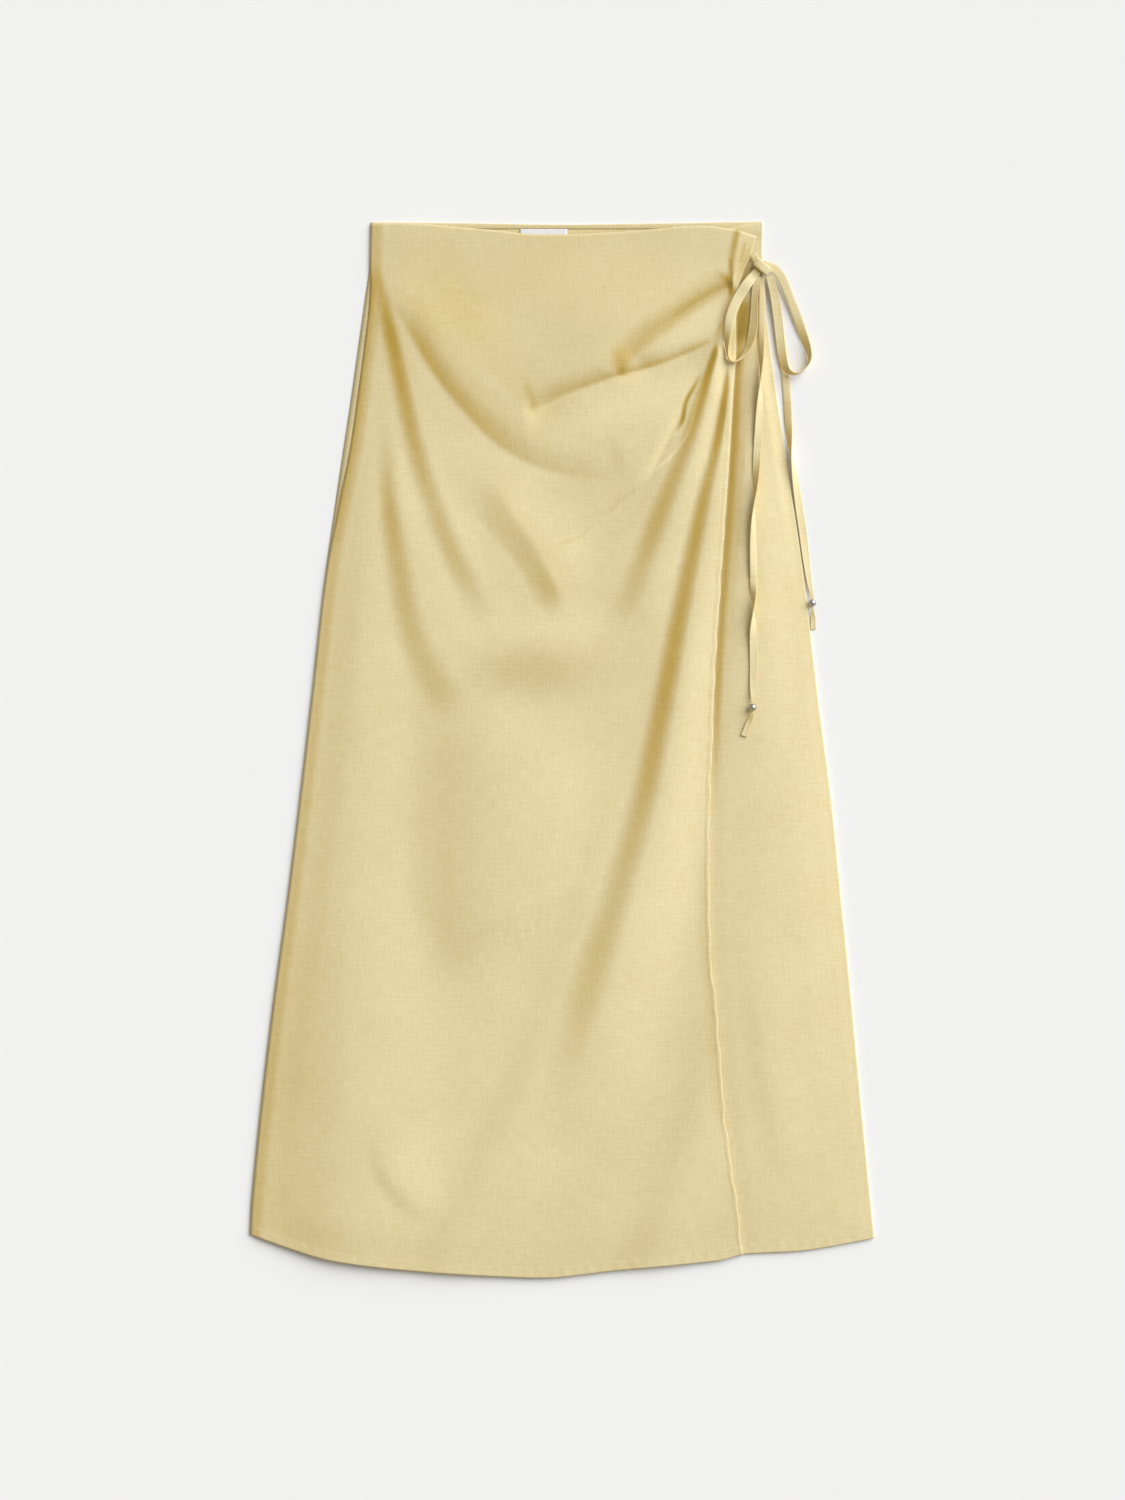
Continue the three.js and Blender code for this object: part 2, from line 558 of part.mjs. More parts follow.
// The under front: the part that the wrap covers lies plain, and the part beside it has its folds
function underFront() {
  const PAST_EDGE = 2; // the covered part reaches this far past the wrap's free edge
  const hemDown = (x) => read(HEM, "x", "down", x) - UNDER_HEM_SHORT * smooth((160 - x) / 12);
  const topX = WRAP_EDGE[0].x + PAST_EDGE;
  const meet = [
    { down: read(UNDER_WAIST, "x", "down", topX), x: topX },
    ...WRAP_EDGE.slice(1, -1).map(({ down, x }) => ({ down, x: x + PAST_EDGE })),
  ];
  const meetHem = WRAP_EDGE[WRAP_EDGE.length - 1].x + PAST_EDGE;
  meet.push({ down: hemDown(meetHem), x: meetHem });
  const hidden = UNDER_WAIST[0].x - SIDES[0].seam;
  const leftHem = -258;
  const left = SIDES.filter(({ down }) => down > 30 && down < 900)
    .map(({ down, seam }) => ({ down, x: seam + hidden }));
  const hemRows = (from, to, count) => [...spaced(from, to, count), to]
    .map((x) => ({ x, down: hemDown(x) }));
  const covered = {
    top: cutRows(UNDER_WAIST, "x", "down", UNDER_WAIST[0].x, topX),
    hem: hemRows(leftHem, meetHem, 14),
    left: [UNDER_WAIST[0], ...left, { down: hemDown(leftHem), x: leftHem }],
    right: meet,
  };
  const right = sideRows("right", 0.2, 914.4);
  const open = {
    top: cutRows(UNDER_WAIST, "x", "down", topX, 180),
    hem: hemRows(meetHem, 280.8, 6),
    left: meet,
    right,
  };
  const shares = [...spaced(0, 0.3, 10), ...spaced(0.3, 1, 14), 1];
  const grid = gridOf([
    { edges: covered, shares: spaced(0, 1, 9) },
    { edges: open, shares: [...spaced(0, 1, 9), 1] },
  ], shares);
  return clothWall("under_front", LINEN, grid, underBottom, CLOTH);
}

// The wrap front, with its drapes and the pleats that gather to the bow
function wrapFront() {
  const corner = WRAP_EDGE[WRAP_EDGE.length - 1];
  const leftTop = WRAP_WAIST[0];
  const left = sideRows("seam", leftTop.down, HEM[0].down);
  left[0] = leftTop;
  left[left.length - 1] = HEM[0];
  const hem = cutRows(HEM, "x", "down", HEM[0].x, corner.x);
  const edges = { top: WRAP_WAIST, hem, left, right: WRAP_EDGE };
  const shares = [...spaced(0, 0.06, 2), ...spaced(0.06, 0.6, 19), ...spaced(0.6, 1, 20), 1];
  const rows = [...spaced(0, 0.36, 26), ...spaced(0.36, 1, 18), 1];
  return clothWall("wrap_front", LINEN, gridOf([{ edges, shares }], rows), wrapBottom, CLOTH);
}

// A tie's centre line, its side direction and its width, step by step
function tieSteps(rows, count) {
  const plan = new THREE.CatmullRomCurve3(
    rows.map(({ x, down }) => new THREE.Vector3(x, WAIST_Y - down, 0)),
  );
  const set = new THREE.CatmullRomCurve3(
    rows.map(({ roll, lift, width }) => new THREE.Vector3(roll, lift, width)),
  );
  const steps = [...spaced(0, 1, count), 1].map((t) => {
    const centre = plan.getPoint(t);
    const ahead = plan.getTangent(t);
    const { x: roll, y: lift, z: width } = set.getPoint(t);
    const turn = THREE.MathUtils.degToRad(roll);
    const level = new THREE.Vector3(-ahead.y, ahead.x, 0);
    const side = level.clone().multiplyScalar(Math.cos(turn)).add(new THREE.Vector3(0, 0, Math.sin(turn)));
    const half = width / 2;
    const ground = Math.max(...[-1, 0, 1].map((k) => {
      const reach = k * half * Math.abs(Math.cos(turn));
      return groundUnderTie(centre.x + reach * level.x, WAIST_Y - centre.y - reach * level.y);
    }));
    const tall = (width * Math.abs(Math.sin(turn)) + TIE * Math.abs(Math.cos(turn))) / 2;
    return { centre, side, half, lift, ground, tall };
  });
  const near = (i, reach) => steps.slice(Math.max(i - reach, 0), i + reach + 1);
  const highest = steps.map((_, i) => Math.max(...near(i, 2).map((step) => step.ground)));
  steps.forEach((step, i) => {
    const around = highest.slice(Math.max(i - 1, 0), i + 2);
    const rest = around.reduce((sum, z) => sum + z, 0) / around.length;
    step.centre.z = rest + SEAM_GAP + step.tall + step.lift;
  });
  return steps;
}

// A tie is a flat strip with slightly rounded edges, carried along its steps
function tie(name, rows, count) {
  const ROUNDING = 0.4;
  const steps = tieSteps(rows, count);
  const points = steps.flatMap(({ centre, side, half }, i) => {
    const before = steps[Math.max(i - 1, 0)].centre;
    const after = steps[Math.min(i + 1, steps.length - 1)].centre;
    const ahead = after.clone().sub(before).normalize();
    const flat = side.clone().addScaledVector(ahead, -side.dot(ahead)).normalize();
    const normal = ahead.clone().cross(flat);
    const section = [
      [half, 0], [half - ROUNDING, TIE / 2], [ROUNDING - half, TIE / 2],
      [-half, 0], [ROUNDING - half, -TIE / 2], [half - ROUNDING, -TIE / 2],
    ];
    return section.map(([across, up]) => (
      centre.clone().addScaledVector(flat, across).addScaledVector(normal, up).toArray()
    ));
  });
  const around = 6;
  const triangles = [];
  for (let i = 0; i < steps.length - 1; i += 1) {
    for (let k = 0; k < around; k += 1) {
      const [a, b] = [i * around + k, i * around + ((k + 1) % around)];
      triangles.push([a, b, b + around], [a, b + around, a + around]);
    }
  }
  const end = (steps.length - 1) * around;
  for (let k = 1; k < around - 1; k += 1) {
    triangles.push([0, k + 1, k], [end, end + k, end + k + 1]);
  }
  return named(geometryOf(points, triangles), name, LINEN_TIE);
}

// The knot is a rounded lump of the two ties drawn together
function bowKnot() {
  const geometry = new THREE.SphereGeometry(1, 20, 14);
  geometry.scale(KNOT.across, KNOT.along, KNOT.high);
  const mesh = named(geometry, "bow_knot", LINEN_TIE);
  mesh.position.set(KNOT.x, WAIST_Y - KNOT.down, groundUnderTie(KNOT.x, KNOT.down) + SEAM_GAP + KNOT.high);
  return mesh;
}

// A bead is a ball with a hole along the tie
function bead(name, x, down) {
  const cap = Math.acos(BEAD_BORE / BEAD_RADIUS);
  const outside = [...spaced(-cap, cap, 9), cap].map((a) => (
    new THREE.Vector2(BEAD_RADIUS * Math.cos(a), BEAD_RADIUS * Math.sin(a))
  ));
  const profile = [...outside, outside[0].clone()];
  const mesh = named(new THREE.LatheGeometry(profile, 20), name, SILVER);
  mesh.position.set(x, WAIST_Y - down, groundUnderTie(x, down) + SEAM_GAP + BEAD_RADIUS);
  return mesh;
}

const skirt = new THREE.Group();
skirt.add(
  backPanel(),
  waistFacing(),
  label(),
  underFront(),
  wrapFront(),
  tie("tie_strap", TIE_STRAP, 6),
  bowKnot(),
  tie("bow_loop_left", BOW_LOOP_LEFT, 45),
  tie("bow_loop_right", BOW_LOOP_RIGHT, 45),
  tie("tie_tail_left", TIE_TAIL_LEFT, 60),
  tie("tie_tail_right", TIE_TAIL_RIGHT, 54),
  bead("bead_left", 171, 437),
  bead("bead_right", 225, 343),
);

export default skirt;
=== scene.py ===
# %% [markdown]
# # A linen wrap skirt, laid flat
#
# This lesson dresses a wrap skirt that lies on a pale floor, seen from straight above. Its back panel,
# its two fronts and its ties are already there as plain solids in a fixed frame. Here each of them is
# made again as thin linen: with soft drapes, three pleats that gather to a bow, turned hems with their
# stitches, a weave, and two small metal beads.
#
# Everything is in metres, with +Z up and +Y towards the waist. Tables are easier to read in
# millimetres, so they are written that way and turned to metres in one place.

# %% Load the frame
import math

import bmesh
import bpy
import numpy as np
from mathutils import Matrix, Vector


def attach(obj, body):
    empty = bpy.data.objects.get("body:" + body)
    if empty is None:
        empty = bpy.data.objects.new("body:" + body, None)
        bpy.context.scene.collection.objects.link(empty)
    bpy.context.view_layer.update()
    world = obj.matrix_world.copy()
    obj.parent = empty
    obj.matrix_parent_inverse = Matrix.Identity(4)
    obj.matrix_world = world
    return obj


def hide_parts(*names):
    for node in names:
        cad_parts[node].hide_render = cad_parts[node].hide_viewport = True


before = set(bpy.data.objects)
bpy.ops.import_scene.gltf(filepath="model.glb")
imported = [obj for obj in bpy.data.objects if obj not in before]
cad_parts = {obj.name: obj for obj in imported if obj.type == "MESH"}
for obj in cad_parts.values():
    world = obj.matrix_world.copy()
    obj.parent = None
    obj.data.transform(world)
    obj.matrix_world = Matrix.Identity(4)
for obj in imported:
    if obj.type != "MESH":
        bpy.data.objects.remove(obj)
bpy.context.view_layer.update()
print("nodes in the frame:", ", ".join(sorted(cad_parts)))

# %% [markdown]
# ## Camera and light
#
# The skirt was photographed square on, as on a table below the camera. A long lens far away keeps the
# hem as wide as it really is, where a short lens would make it fan out. The light is one large soft
# lamp high up at the top right, which puts the left flank of every fold in shade, and a pale room
# around it that fills the shade. The fill is a little warmer than the lamp, as the light in the
# hollows of yellow cloth has already bounced off the cloth.

# %% Camera
MM = 0.001
PIXEL = 0.9 * MM
PICTURE_TALL = 1500  # pixels
VIEW_HEIGHT = PICTURE_TALL * PIXEL
LENS = 85.0
SENSOR = 36.0

camera_data = bpy.data.cameras.new("camera")
camera_data.lens = LENS
camera_data.sensor_width = SENSOR
camera_data.clip_end = 20
camera = bpy.data.objects.new("camera", camera_data)
# the picture's middle is half a pixel to the right of the skirt's and half a pixel below it
camera.location = (0.5 * PIXEL, -0.5 * PIXEL, VIEW_HEIGHT * LENS / SENSOR)
bpy.context.collection.objects.link(camera)
bpy.context.scene.camera = camera
bpy.context.scene.view_settings.view_transform = "Standard"
print("camera height:", round(camera.location.z, 3), "m")

# %% Light
KEY_AZIMUTH = 38  # degrees from +X towards +Y: the light comes from the upper right
KEY_HEIGHT = 33
KEY_SPREAD = 56  # a lamp this wide leaves only soft shadows
KEY_STRENGTH = 3.95
FILL_STRENGTH = 0.36


def linear(code, alpha=1.0):
    """An sRGB hex colour as the linear colour that shaders work in."""
    channels = [int(code[i : i + 2], 16) / 255 for i in (0, 2, 4)]
    return [c / 12.92 if c <= 0.04045 else ((c + 0.055) / 1.055) ** 2.4 for c in channels] + [alpha]


key_data = bpy.data.lights.new("key_light", "SUN")
key_data.energy = KEY_STRENGTH
key_data.angle = math.radians(KEY_SPREAD)
key_data.color = linear("F6FAFF")[:3]
key = bpy.data.objects.new("key_light", key_data)
key.rotation_euler = (0, math.radians(90 - KEY_HEIGHT), math.radians(KEY_AZIMUTH))
key.location = (1, 1, 2)
bpy.context.collection.objects.link(key)

world = bpy.data.worlds.new("pale_room")
world.use_nodes = True
world.node_tree.nodes["Background"].inputs["Color"].default_value = linear("FFF8EA")
world.node_tree.nodes["Background"].inputs["Strength"].default_value = FILL_STRENGTH
bpy.context.scene.world = world
TO_LAMP = (math.cos(math.radians(KEY_AZIMUTH)), math.sin(math.radians(KEY_AZIMUTH)))
print("key light from", KEY_AZIMUTH, "degrees at", KEY_HEIGHT, "degrees up")

# %% [markdown]
# ## Sizes of the skirt
#
# These tables say where the cloth lies: the side edges at each level below the waist, the free edge of
# the wrap, the top edges and the hem. A smooth curve through the rows gives every place between them.

# %% Outlines
SKIRT_LENGTH = 949.5
WAIST_Y = SKIRT_LENGTH / 2
CLOTH = 1.5
SEAM_GAP = 0.3
TRIM = 1
FACING_BOTTOM = 6.4
SEAM_RISE = 12
TIE = 1.2
BEAD_RADIUS = 3.5
UNDER_BASE = CLOTH + SEAM_GAP

SIDES = {
    "down": [0, 36, 70, 115, 160, 205, 250, 318, 430, 520, 610, 700, 790, 880, 914.4],
    "left": [
        -171.9, -172.8, -177.3, -183.6, -189.9, -196.7, -203.4, -212.9, -225.3, -235.8,
        -246.9, -259.2, -270, -279, -280.8,
    ],
    "seam": [
        -171.9, -172.6, -173, -178.2, -184.2, -190.8, -199.8, -212.4, -225.3, -235.8,
        -246.9, -259.2, -270, -279, -280.8,
    ],
    "right": [
        180, 180, 181.8, 187.2, 193.2, 200.4, 207.2, 217.2, 230.4, 242.1,
        251.1, 260.1, 268.5, 277.2, 280.8,
    ],
}
WRAP_EDGE = {
    "down": [
        13.5, 29.7, 41.4, 61.2, 81, 120.6, 151, 232, 304,
        400, 484, 565, 664, 700, 793, 825, 891, 928.8,
    ],
    "x": [
        174.6, 170.1, 164.7, 158.4, 156.4, 156.2, 153.9, 149, 144,
        137.7, 134.5, 132.3, 134.1, 138.2, 145.6, 149, 158.4, 162.5,
    ],
}
BACK_WAIST = {"x": [-171.9, -90, 0, 90, 180], "down": [0.5, 1.3, 2.7, 1.5, 0]}
WRAP_WAIST = {
    "x": [-171.9, -134, -97, -56, -31.5, 4.5, 40.5, 88, 106, 130.5, 155, 174.6],
    "down": [1.8, 1.7, 4.9, 8.5, 11.4, 11.8, 10.3, 6.7, 4.9, 4.5, 7.8, 13.5],
}
UNDER_WAIST = {"x": [-156, 40, 110, 140, 161, 171, 180], "down": [20, 19, 13, 8, 3.2, 1.1, 0.2]}
HEM = {
    "x": [-280.8, -239.4, -207, -136.8, -37.8, -6.3, 48.6, 141.3, 162.5, 218.7, 280.8],
    "down": [910.8, 925.2, 934.2, 943.2, 949.5, 949.5, 943.2, 934.2, 928.8, 925.2, 914.4],
}


def smooth(share):
    """Eases from 0 to 1, level at both ends."""
    s = np.clip(share, 0, 1)
    return s * s * (3 - 2 * s)


def read(table, key, column, at):
    """The value of one column where another has a given value, on a smooth curve through the rows."""
    known, values = np.array(table[key], float), np.array(table[column], float)
    i = np.clip(np.searchsorted(known, at, side="left") - 1, 0, len(known) - 2)
    before, after = np.maximum(i - 1, 0), np.minimum(i + 2, len(known) - 1)
    span = known[i + 1] - known[i]
    t = np.clip((at - known[i]) / span, 0, 1)
    leaving = (values[i + 1] - values[before]) / (known[i + 1] - known[before]) * span
    arriving = (values[after] - values[i]) / (known[after] - known[i]) * span
    rise = values[i + 1] - values[i]
    bend = t * t * (3 * rise - 2 * leaving - arriving) + t**3 * (leaving + arriving - 2 * rise)
    return values[i] + t * leaving + bend


hem_wide = HEM["x"][-1] - HEM["x"][0]
waist_wide = SIDES["right"][0] - SIDES["left"][0]
print("hem is", hem_wide, "mm wide and the waist", waist_wide, "mm")

# %% [markdown]
# ## Folds
#
# A fold in laid cloth is a soft ridge that follows a line. Across the line it starts to rise at its
# foot, is highest at its crest and has died away at its end. Those three distances, its height, and
# how quickly it grows and fades along the line are all that a fold needs, so a table holds them. A
# fold can also get wider as it runs, by the number under "spread", and be creased along its foot or
# its crest. A place on a line is (x, down from the waist). The skirt could be draped by simulation,
# but these drapes come from how someone arranged it by hand, and a table can follow that.
#
# Wide swells that no line describes are mounds. The same two forms, strokes and oval patches, also
# paint light and shade into the cloth's colour where it should look paler or deeper than its slope alone
# makes it: painted shade where little light gets into a narrow hollow, and painted light on places that
# should look brighter.

# %% The large folds
COLUMNS = ("foot", "crest", "end", "height", "start", "finish", "spread", "creased", "line")
WRAP_FOLDS = {
    "left side roll": (0, 18, 44, 4.6, 0.75, 0.01, 5, "none",
        [(-188, 110), (-202, 200), (-214, 300), (-225, 430), (-247, 610), (-260, 700), (-270, 790),
         (-283, 940)]),
    "hip drape": (-3.2, 6.4, 60, 5.2, 0.3, 0.26, 3.4, "none",
        [(-175, 30), (-165, 58), (-160, 90), (-153, 122), (-142, 178), (-127, 235), (-103, 300),
         (-77, 352), (-66, 375)]),
    "upper swag": (-2, 14, 84, 3.7, 0.24, 0.35, 1.6, "foot",
        [(-160, 62), (-140, 92), (-114, 136), (-84, 173), (-52, 203), (-17, 220), (25, 228), (64, 230)]),
    "middle swag": (-3, 27, 108, 3.3, 0.3, 0.2, 0.6, "both",
        [(-98, 228), (-80, 255), (-62, 280), (-45, 300), (-29, 325), (-17, 345), (-4, 363)]),
    "long left drape": (-1, 13, 50, 4.6, 0.3, 0.16, 3, "none",
        [(-166, 150), (-165, 240), (-161, 290), (-150, 365), (-135, 412), (-110, 460)]),
    "low left hollow": (-8, 78, 180, 4.2, 0.26, 0.4, 0.75, "none",
        [(-143, 390), (-142, 470), (-140, 590), (-128, 645), (-110, 684), (-80, 725)]),
    "low left swag": (0, 16, 60, 1.8, 0.4, 0.4, 1, "foot",
        [(-181, 800), (-174, 838), (-164, 866), (-147, 886), (-126, 900), (-94, 910)]),
    "swag end": (-10, 2, 30, 0.5, 0.45, 0.45, 1, "none",
        [(36, 190), (50, 201), (55, 218), (50, 238)]),
    "gathered drape": (-2.3, 2.3, 9, 5.4, 0.05, 0.5, 9, "none",
        [(141, 106), (131, 138), (124, 162), (110, 207), (89, 260), (66, 320), (51, 350), (34, 374),
         (8, 396)]),
    "long edge drape": (-2, 2.3, 10, 7.8, 0.13, 0.26, 11, "none",
        [(149, 118), (145, 160), (137, 205), (126, 250), (107, 340), (90, 430), (71, 520), (46, 610),
         (17, 700), (-9, 780), (-28, 835)]),
    "low edge drape": (-16, 14, 50, 2.6, 0.4, 0.05, 1.4, "none",
        [(129, 610), (126, 700), (119, 750), (109, 800), (92, 850), (66, 925), (44, 990)]),
    "low middle drape": (-40, -8, 60, 2.6, 0.35, 0.1, 1.2, "none",
        [(12, 700), (-10, 760), (-35, 815), (-58, 860), (-84, 925), (-104, 985)]),
    "first pleat hollow": (-46, 0, 24, -6.5, 0.2, 0.1, 0.7, "crest",
        [(44, 141), (58, 122), (72, 108), (90, 95), (108, 82), (122, 72), (140, 61), (152, 53)]),
    "second pleat hollow": (-60, 0, 20, -4.2, 0.25, 0.15, 0.6, "crest",
        [(-36, 172), (-24, 169), (0, 157), (25, 148), (50, 139), (81, 131), (108, 121), (143, 105)]),
    "third pleat hollow": (-30, 0, 12, -2.5, 0.35, 0.25, 0.6, "crest",
        [(-8, 291), (10, 287), (25, 276), (45, 259), (75, 234), (96, 195), (112, 165), (130, 134)]),
    "gathered edge": (-5, 3, 40, 2.8, 0.02, 0.2, 1, "crest",
        [(157, 6), (153, 30), (151, 50), (149, 70), (143, 92), (136, 112)]),
}
UNDER_FOLDS = {
    "lower ridge": (-24, 0, 40, 1.2, 0.35, 0.35, 1, "none",
        [(170, 620), (180, 720), (196, 820), (210, 880)]),
}
MOUND_COLUMNS = ("x", "down", "half_wide", "half_long", "height")
WRAP_MOUNDS = {
    "yoke": (40, 110, 210, 110, 9),
    "below the pleats": (70, 215, 110, 90, 6),
    "lowest swag": (-12, 386, 92, 56, 5),
    "below the swags": (0, 570, 90, 150, 4),
}
UNDER_MOUNDS = {
    "under the ties": (176, 260, 42, 300, 2.5),
}
# painted light (above zero) and painted shade (below zero), in oval patches and in strokes along lines
PAINTED_SHADING_COLUMNS = ("x", "down", "half_wide", "half_long", "strength")
PAINTED_SHADING_PATCHES = {
    "yoke": (0, 50, 190, 120, -0.05),
    "low left": (-250, 820, 110, 320, -0.05),
    "left of the yoke": (-115, 70, 75, 85, -0.07),
    "right hip": (240, 450, 100, 600, 0.14),
    "beside the long drape": (112, 520, 40, 300, 0.04),
    "hem": (-20, 950, 330, 110, -0.02),
    "middle": (0, 640, 150, 280, 0.05),
    "gathered strip": (163, 40, 10, 36, -0.16),
    "crescent": (-10, 400, 84, 40, -0.065),
    "above the third pleat": (38, 258, 50, 46, 0.05),
}
SWAG_SHADE = [(-158, 62), (-138, 92), (-112, 134), (-82, 170), (-50, 200), (-15, 216), (20, 224)]


def fold_line(name, first=0, last=None):
    """The line of one of the wrap's folds, or a part of it, for a stroke that follows it."""
    return WRAP_FOLDS[name][-1][first:last]


# strokes of painted shade along creases, pockets and edges, and of painted light beside some of them
PAINTED_SHADING_STROKES = {
    "first pleat": (-11, -1, 20, -0.17, 0.06, 0.06, 0.8, "none",
        [(46, 138), *fold_line("first pleat hollow", 1)]),
    "first pocket": (-9, 0, 13, -0.13, 0.35, 0.2, 1, "none",
        [(46, 108), (51, 122), (54, 134), (55, 143)]),
    "second pleat": (-3, 1, 14, -0.08, 0.08, 0.5, 0.45, "none",
        [(-30, 168), (-16, 164), *fold_line("second pleat hollow", 2)]),
    "second pocket": (-6, 0, 7, -0.12, 0.4, 0.15, 1, "none",
        [(-35, 138), (-31, 152), (-27, 164), (-25, 174)]),
    "under the pleats": (-70, -30, -4, 0.07, 0.2, 0.2, 0.9, "none",
        [(-30, 172), *fold_line("second pleat hollow", 2)]),
    "between the pleats": (-34, -16, -3, 0.05, 0.3, 0.2, 1, "none",
        [(60, 122), *fold_line("first pleat hollow", 3)]),
    "third pleat": (-3, 0, 3, -0.06, 0.1, 0.1, 1, "none", fold_line("third pleat hollow", 0, 5)),
    "third pocket": (-4, 0, 3, -0.5, 0.4, 0.3, 1, "none",
        [(129, 130), (120, 147), (111.5, 163), (108, 180), (101, 190)]),
    "third pleat edge": (-2.6, 0, 2.6, 0.18, 0.2, 0.3, 1, "none",
        [(78, 229), (92, 217), (106, 202), (115, 186), (122, 160), (131, 134)]),
    "hip drape": (-3, 4, 20, -0.015, 0.6, 0.3, 1.2, "none",
        [(-175, 32), (-163, 62), (-158, 95), (-152, 125), (-140, 180), (-124, 238), (-100, 302),
         (-72, 354)]),
    "upper swag": (-2, 12, 30, -0.07, 0.2, 0.4, 1.2, "none", SWAG_SHADE),
    "left drape": (-3, 6, 18, -0.05, 0.2, 0.4, 2.4, "none",
        [(-164, 160), (-164, 240), (-161, 290), (-150, 365), (-132, 412), (-105, 460)]),
    "gathered drape": (-4, 0, 4, -0.08, 0.05, 0.6, 5.5, "none", fold_line("gathered drape")),
    "long edge drape": (-2.6, 0, 2.6, -0.05, 0.12, 0.3, 10.5, "none",
        fold_line("long edge drape", 0, -1)),
    "gathered edge": (-7, -1, 6, -0.1, 0.1, 0.4, 0.3, "none",
        [(160, 5), (155, 20), (152, 36), (152.5, 62)]),
    "gathered crack": (-1.5, 0, 1.5, -0.35, 0.3, 0.15, 1, "none",
        [(151.5, 30), (151.5, 45), (152.5, 60)]),
    "lower crack": (-1.5, 0, 1.5, -0.12, 0.3, 0.3, 1, "none", [(144, 88), (140.5, 98), (135, 109)]),
    "beside the free edge": (-3, 0, 6, -0.12, 0.04, 0.85, 0.5, "none",
        [(169, 36), (161, 58), (158, 81), (157.5, 120), (155, 151), (150, 232), (145, 304), (139, 400)]),
    "above the upper swag": (18, 46, 84, -0.05, 0.25, 0.25, 1, "none", SWAG_SHADE),
    "inside the bow loop": (-10, 0, 10, -0.46, 0.25, 0.3, 1, "none",
        [(165, 64), (164, 82), (163, 98), (160, 114)]),
    "first pleat line": (-0.8, 0.6, 9, -0.11, 0.35, 0.06, 1, "none",
        [(90, 95), (108, 82), (122, 72.5), (140, 62), (155, 58)]),
    "left of the long drape": (-66, -30, -4, -0.05, 0.3, 0.3, 1, "none",
        fold_line("long edge drape", 5)),
    "along the free edge": (-15, -4, 0, -0.08, 0.3, 0.3, 1, "none",
        [(132.3, 545), (132.3, 600), (134.1, 664), (138.2, 700), (145.6, 793), (149, 830)]),
    "low left hollow": (-2, 20, 110, -0.04, 0.15, 0.35, 1, "none",
        [(-143, 400), *fold_line("low left hollow", 1)]),
    "middle swag": (-2, 16, 60, -0.045, 0.25, 0.2, 0.8, "none", fold_line("middle swag")),
    "second pleat line": (-0.8, 0.6, 7, -0.12, 0.3, 0.04, 1, "none",
        [(25, 148), (50, 139), (81, 131), (108, 121), (136, 108)]),
    "first gather": (-1.6, 0, 1.6, -0.13, 0.25, 0.3, 1, "none", [(166, 16), (163, 27), (159, 40)]),
    "second gather": (-1.4, 0, 1.4, -0.08, 0.3, 0.3, 1, "none", [(171, 20), (167.5, 30), (163, 42)]),
}
LINE_STEPS = 5  # the straight steps that a curve takes between two of a line's places


def through(values, count):
    """Places on a smooth curve through rows of values, and its direction there, evenly by row."""
    values = np.array(values, float)
    last = len(values) - 1
    t = np.linspace(0, last, count)
    i = np.minimum(t.astype(int), last - 1)
    s = (t - i)[:, None]
    a, b = values[i], values[i + 1]
    before = np.where((i > 0)[:, None], values[np.maximum(i - 1, 0)], 2 * a - b)
    after = np.where((i + 2 <= last)[:, None], values[np.minimum(i + 2, last)], 2 * b - a)
    leaving, arriving = (b - before) / 2, (after - a) / 2
    square, cube = 3 * (b - a) - 2 * leaving - arriving, leaving + arriving - 2 * (b - a)
    place = a + s * leaving + s**2 * square + s**3 * cube
    ahead = leaving + 2 * s * square + 3 * s**2 * cube
    return place, ahead


def across_line(line, x, down):
    """Distance from a fold's line, and the share of the line walked to get beside it.

    The distance is above zero on the left hand of someone who walks along the line.
    """
    best, across, along = np.full(x.shape, np.inf), np.zeros(x.shape), np.zeros(x.shape)
    for i, ((ax, ad), (bx, bd)) in enumerate(zip(line, line[1:])):
        dx, dy = bx - ax, ad - bd
        px, py = x - ax, ad - down
        t = np.clip((px * dx + py * dy) / (dx * dx + dy * dy), 0, 1)
        distance = np.hypot(px - t * dx, py - t * dy)
        side = np.where(dx * py - dy * px < 0, -1, 1)
        nearer = distance < best
        best = np.where(nearer, distance, best)
        across = np.where(nearer, side * distance, across)
        along = np.where(nearer, (i + t) / (len(line) - 1), along)
    return across, along


def fold_height(values, x, down):
    """Height of one fold: up from its foot to its crest, down to its end, and fading at both tips."""
    fold = dict(zip(COLUMNS, values))
    line, _ = through(fold["line"], LINE_STEPS * (len(fold["line"]) - 1) + 1)
    across, along = across_line(line, x, down)
    width = 1 + (fold["spread"] - 1) * along
    rise = np.clip((across / width - fold["foot"]) / (fold["crest"] - fold["foot"]), 0, 1)
    fall = np.clip((across / width - fold["crest"]) / (fold["end"] - fold["crest"]), 0, 1)
    rising = {
        "foot": np.sin(rise * math.pi / 2),
        "crest": 1 - np.cos(rise * math.pi / 2),
        "both": 0.8 * rise + 0.2 * smooth(rise),
        "none": smooth(rise),
    }[fold["creased"]]
    falling = 1 - np.sin(fall * math.pi / 2) if fold["creased"] in ("crest", "both") else 1 - smooth(fall)
    taper = smooth(along / fold["start"]) * smooth((1 - along) / fold["finish"])
    return fold["height"] * taper * np.where(rise < 1, rising, falling)


def patch_at(columns, values, x, down):
    """A wide, soft, oval patch: its full strength in the middle and nothing at its rim."""
    patch = dict(zip(columns, values))
    reach = np.hypot((x - patch["x"]) / patch["half_wide"], (down - patch["down"]) / patch["half_long"])
    return patch[columns[-1]] * (1 - smooth(reach))


def folds_at(folds, mounds, x, down):
    """All folds together, kept softly above the layer beneath."""
    total = sum(fold_height(values, x, down) for values in folds.values())
    total = total + sum(patch_at(MOUND_COLUMNS, values, x, down) for values in mounds.values())
    return (total + np.sqrt(total * total + 1)) / 2


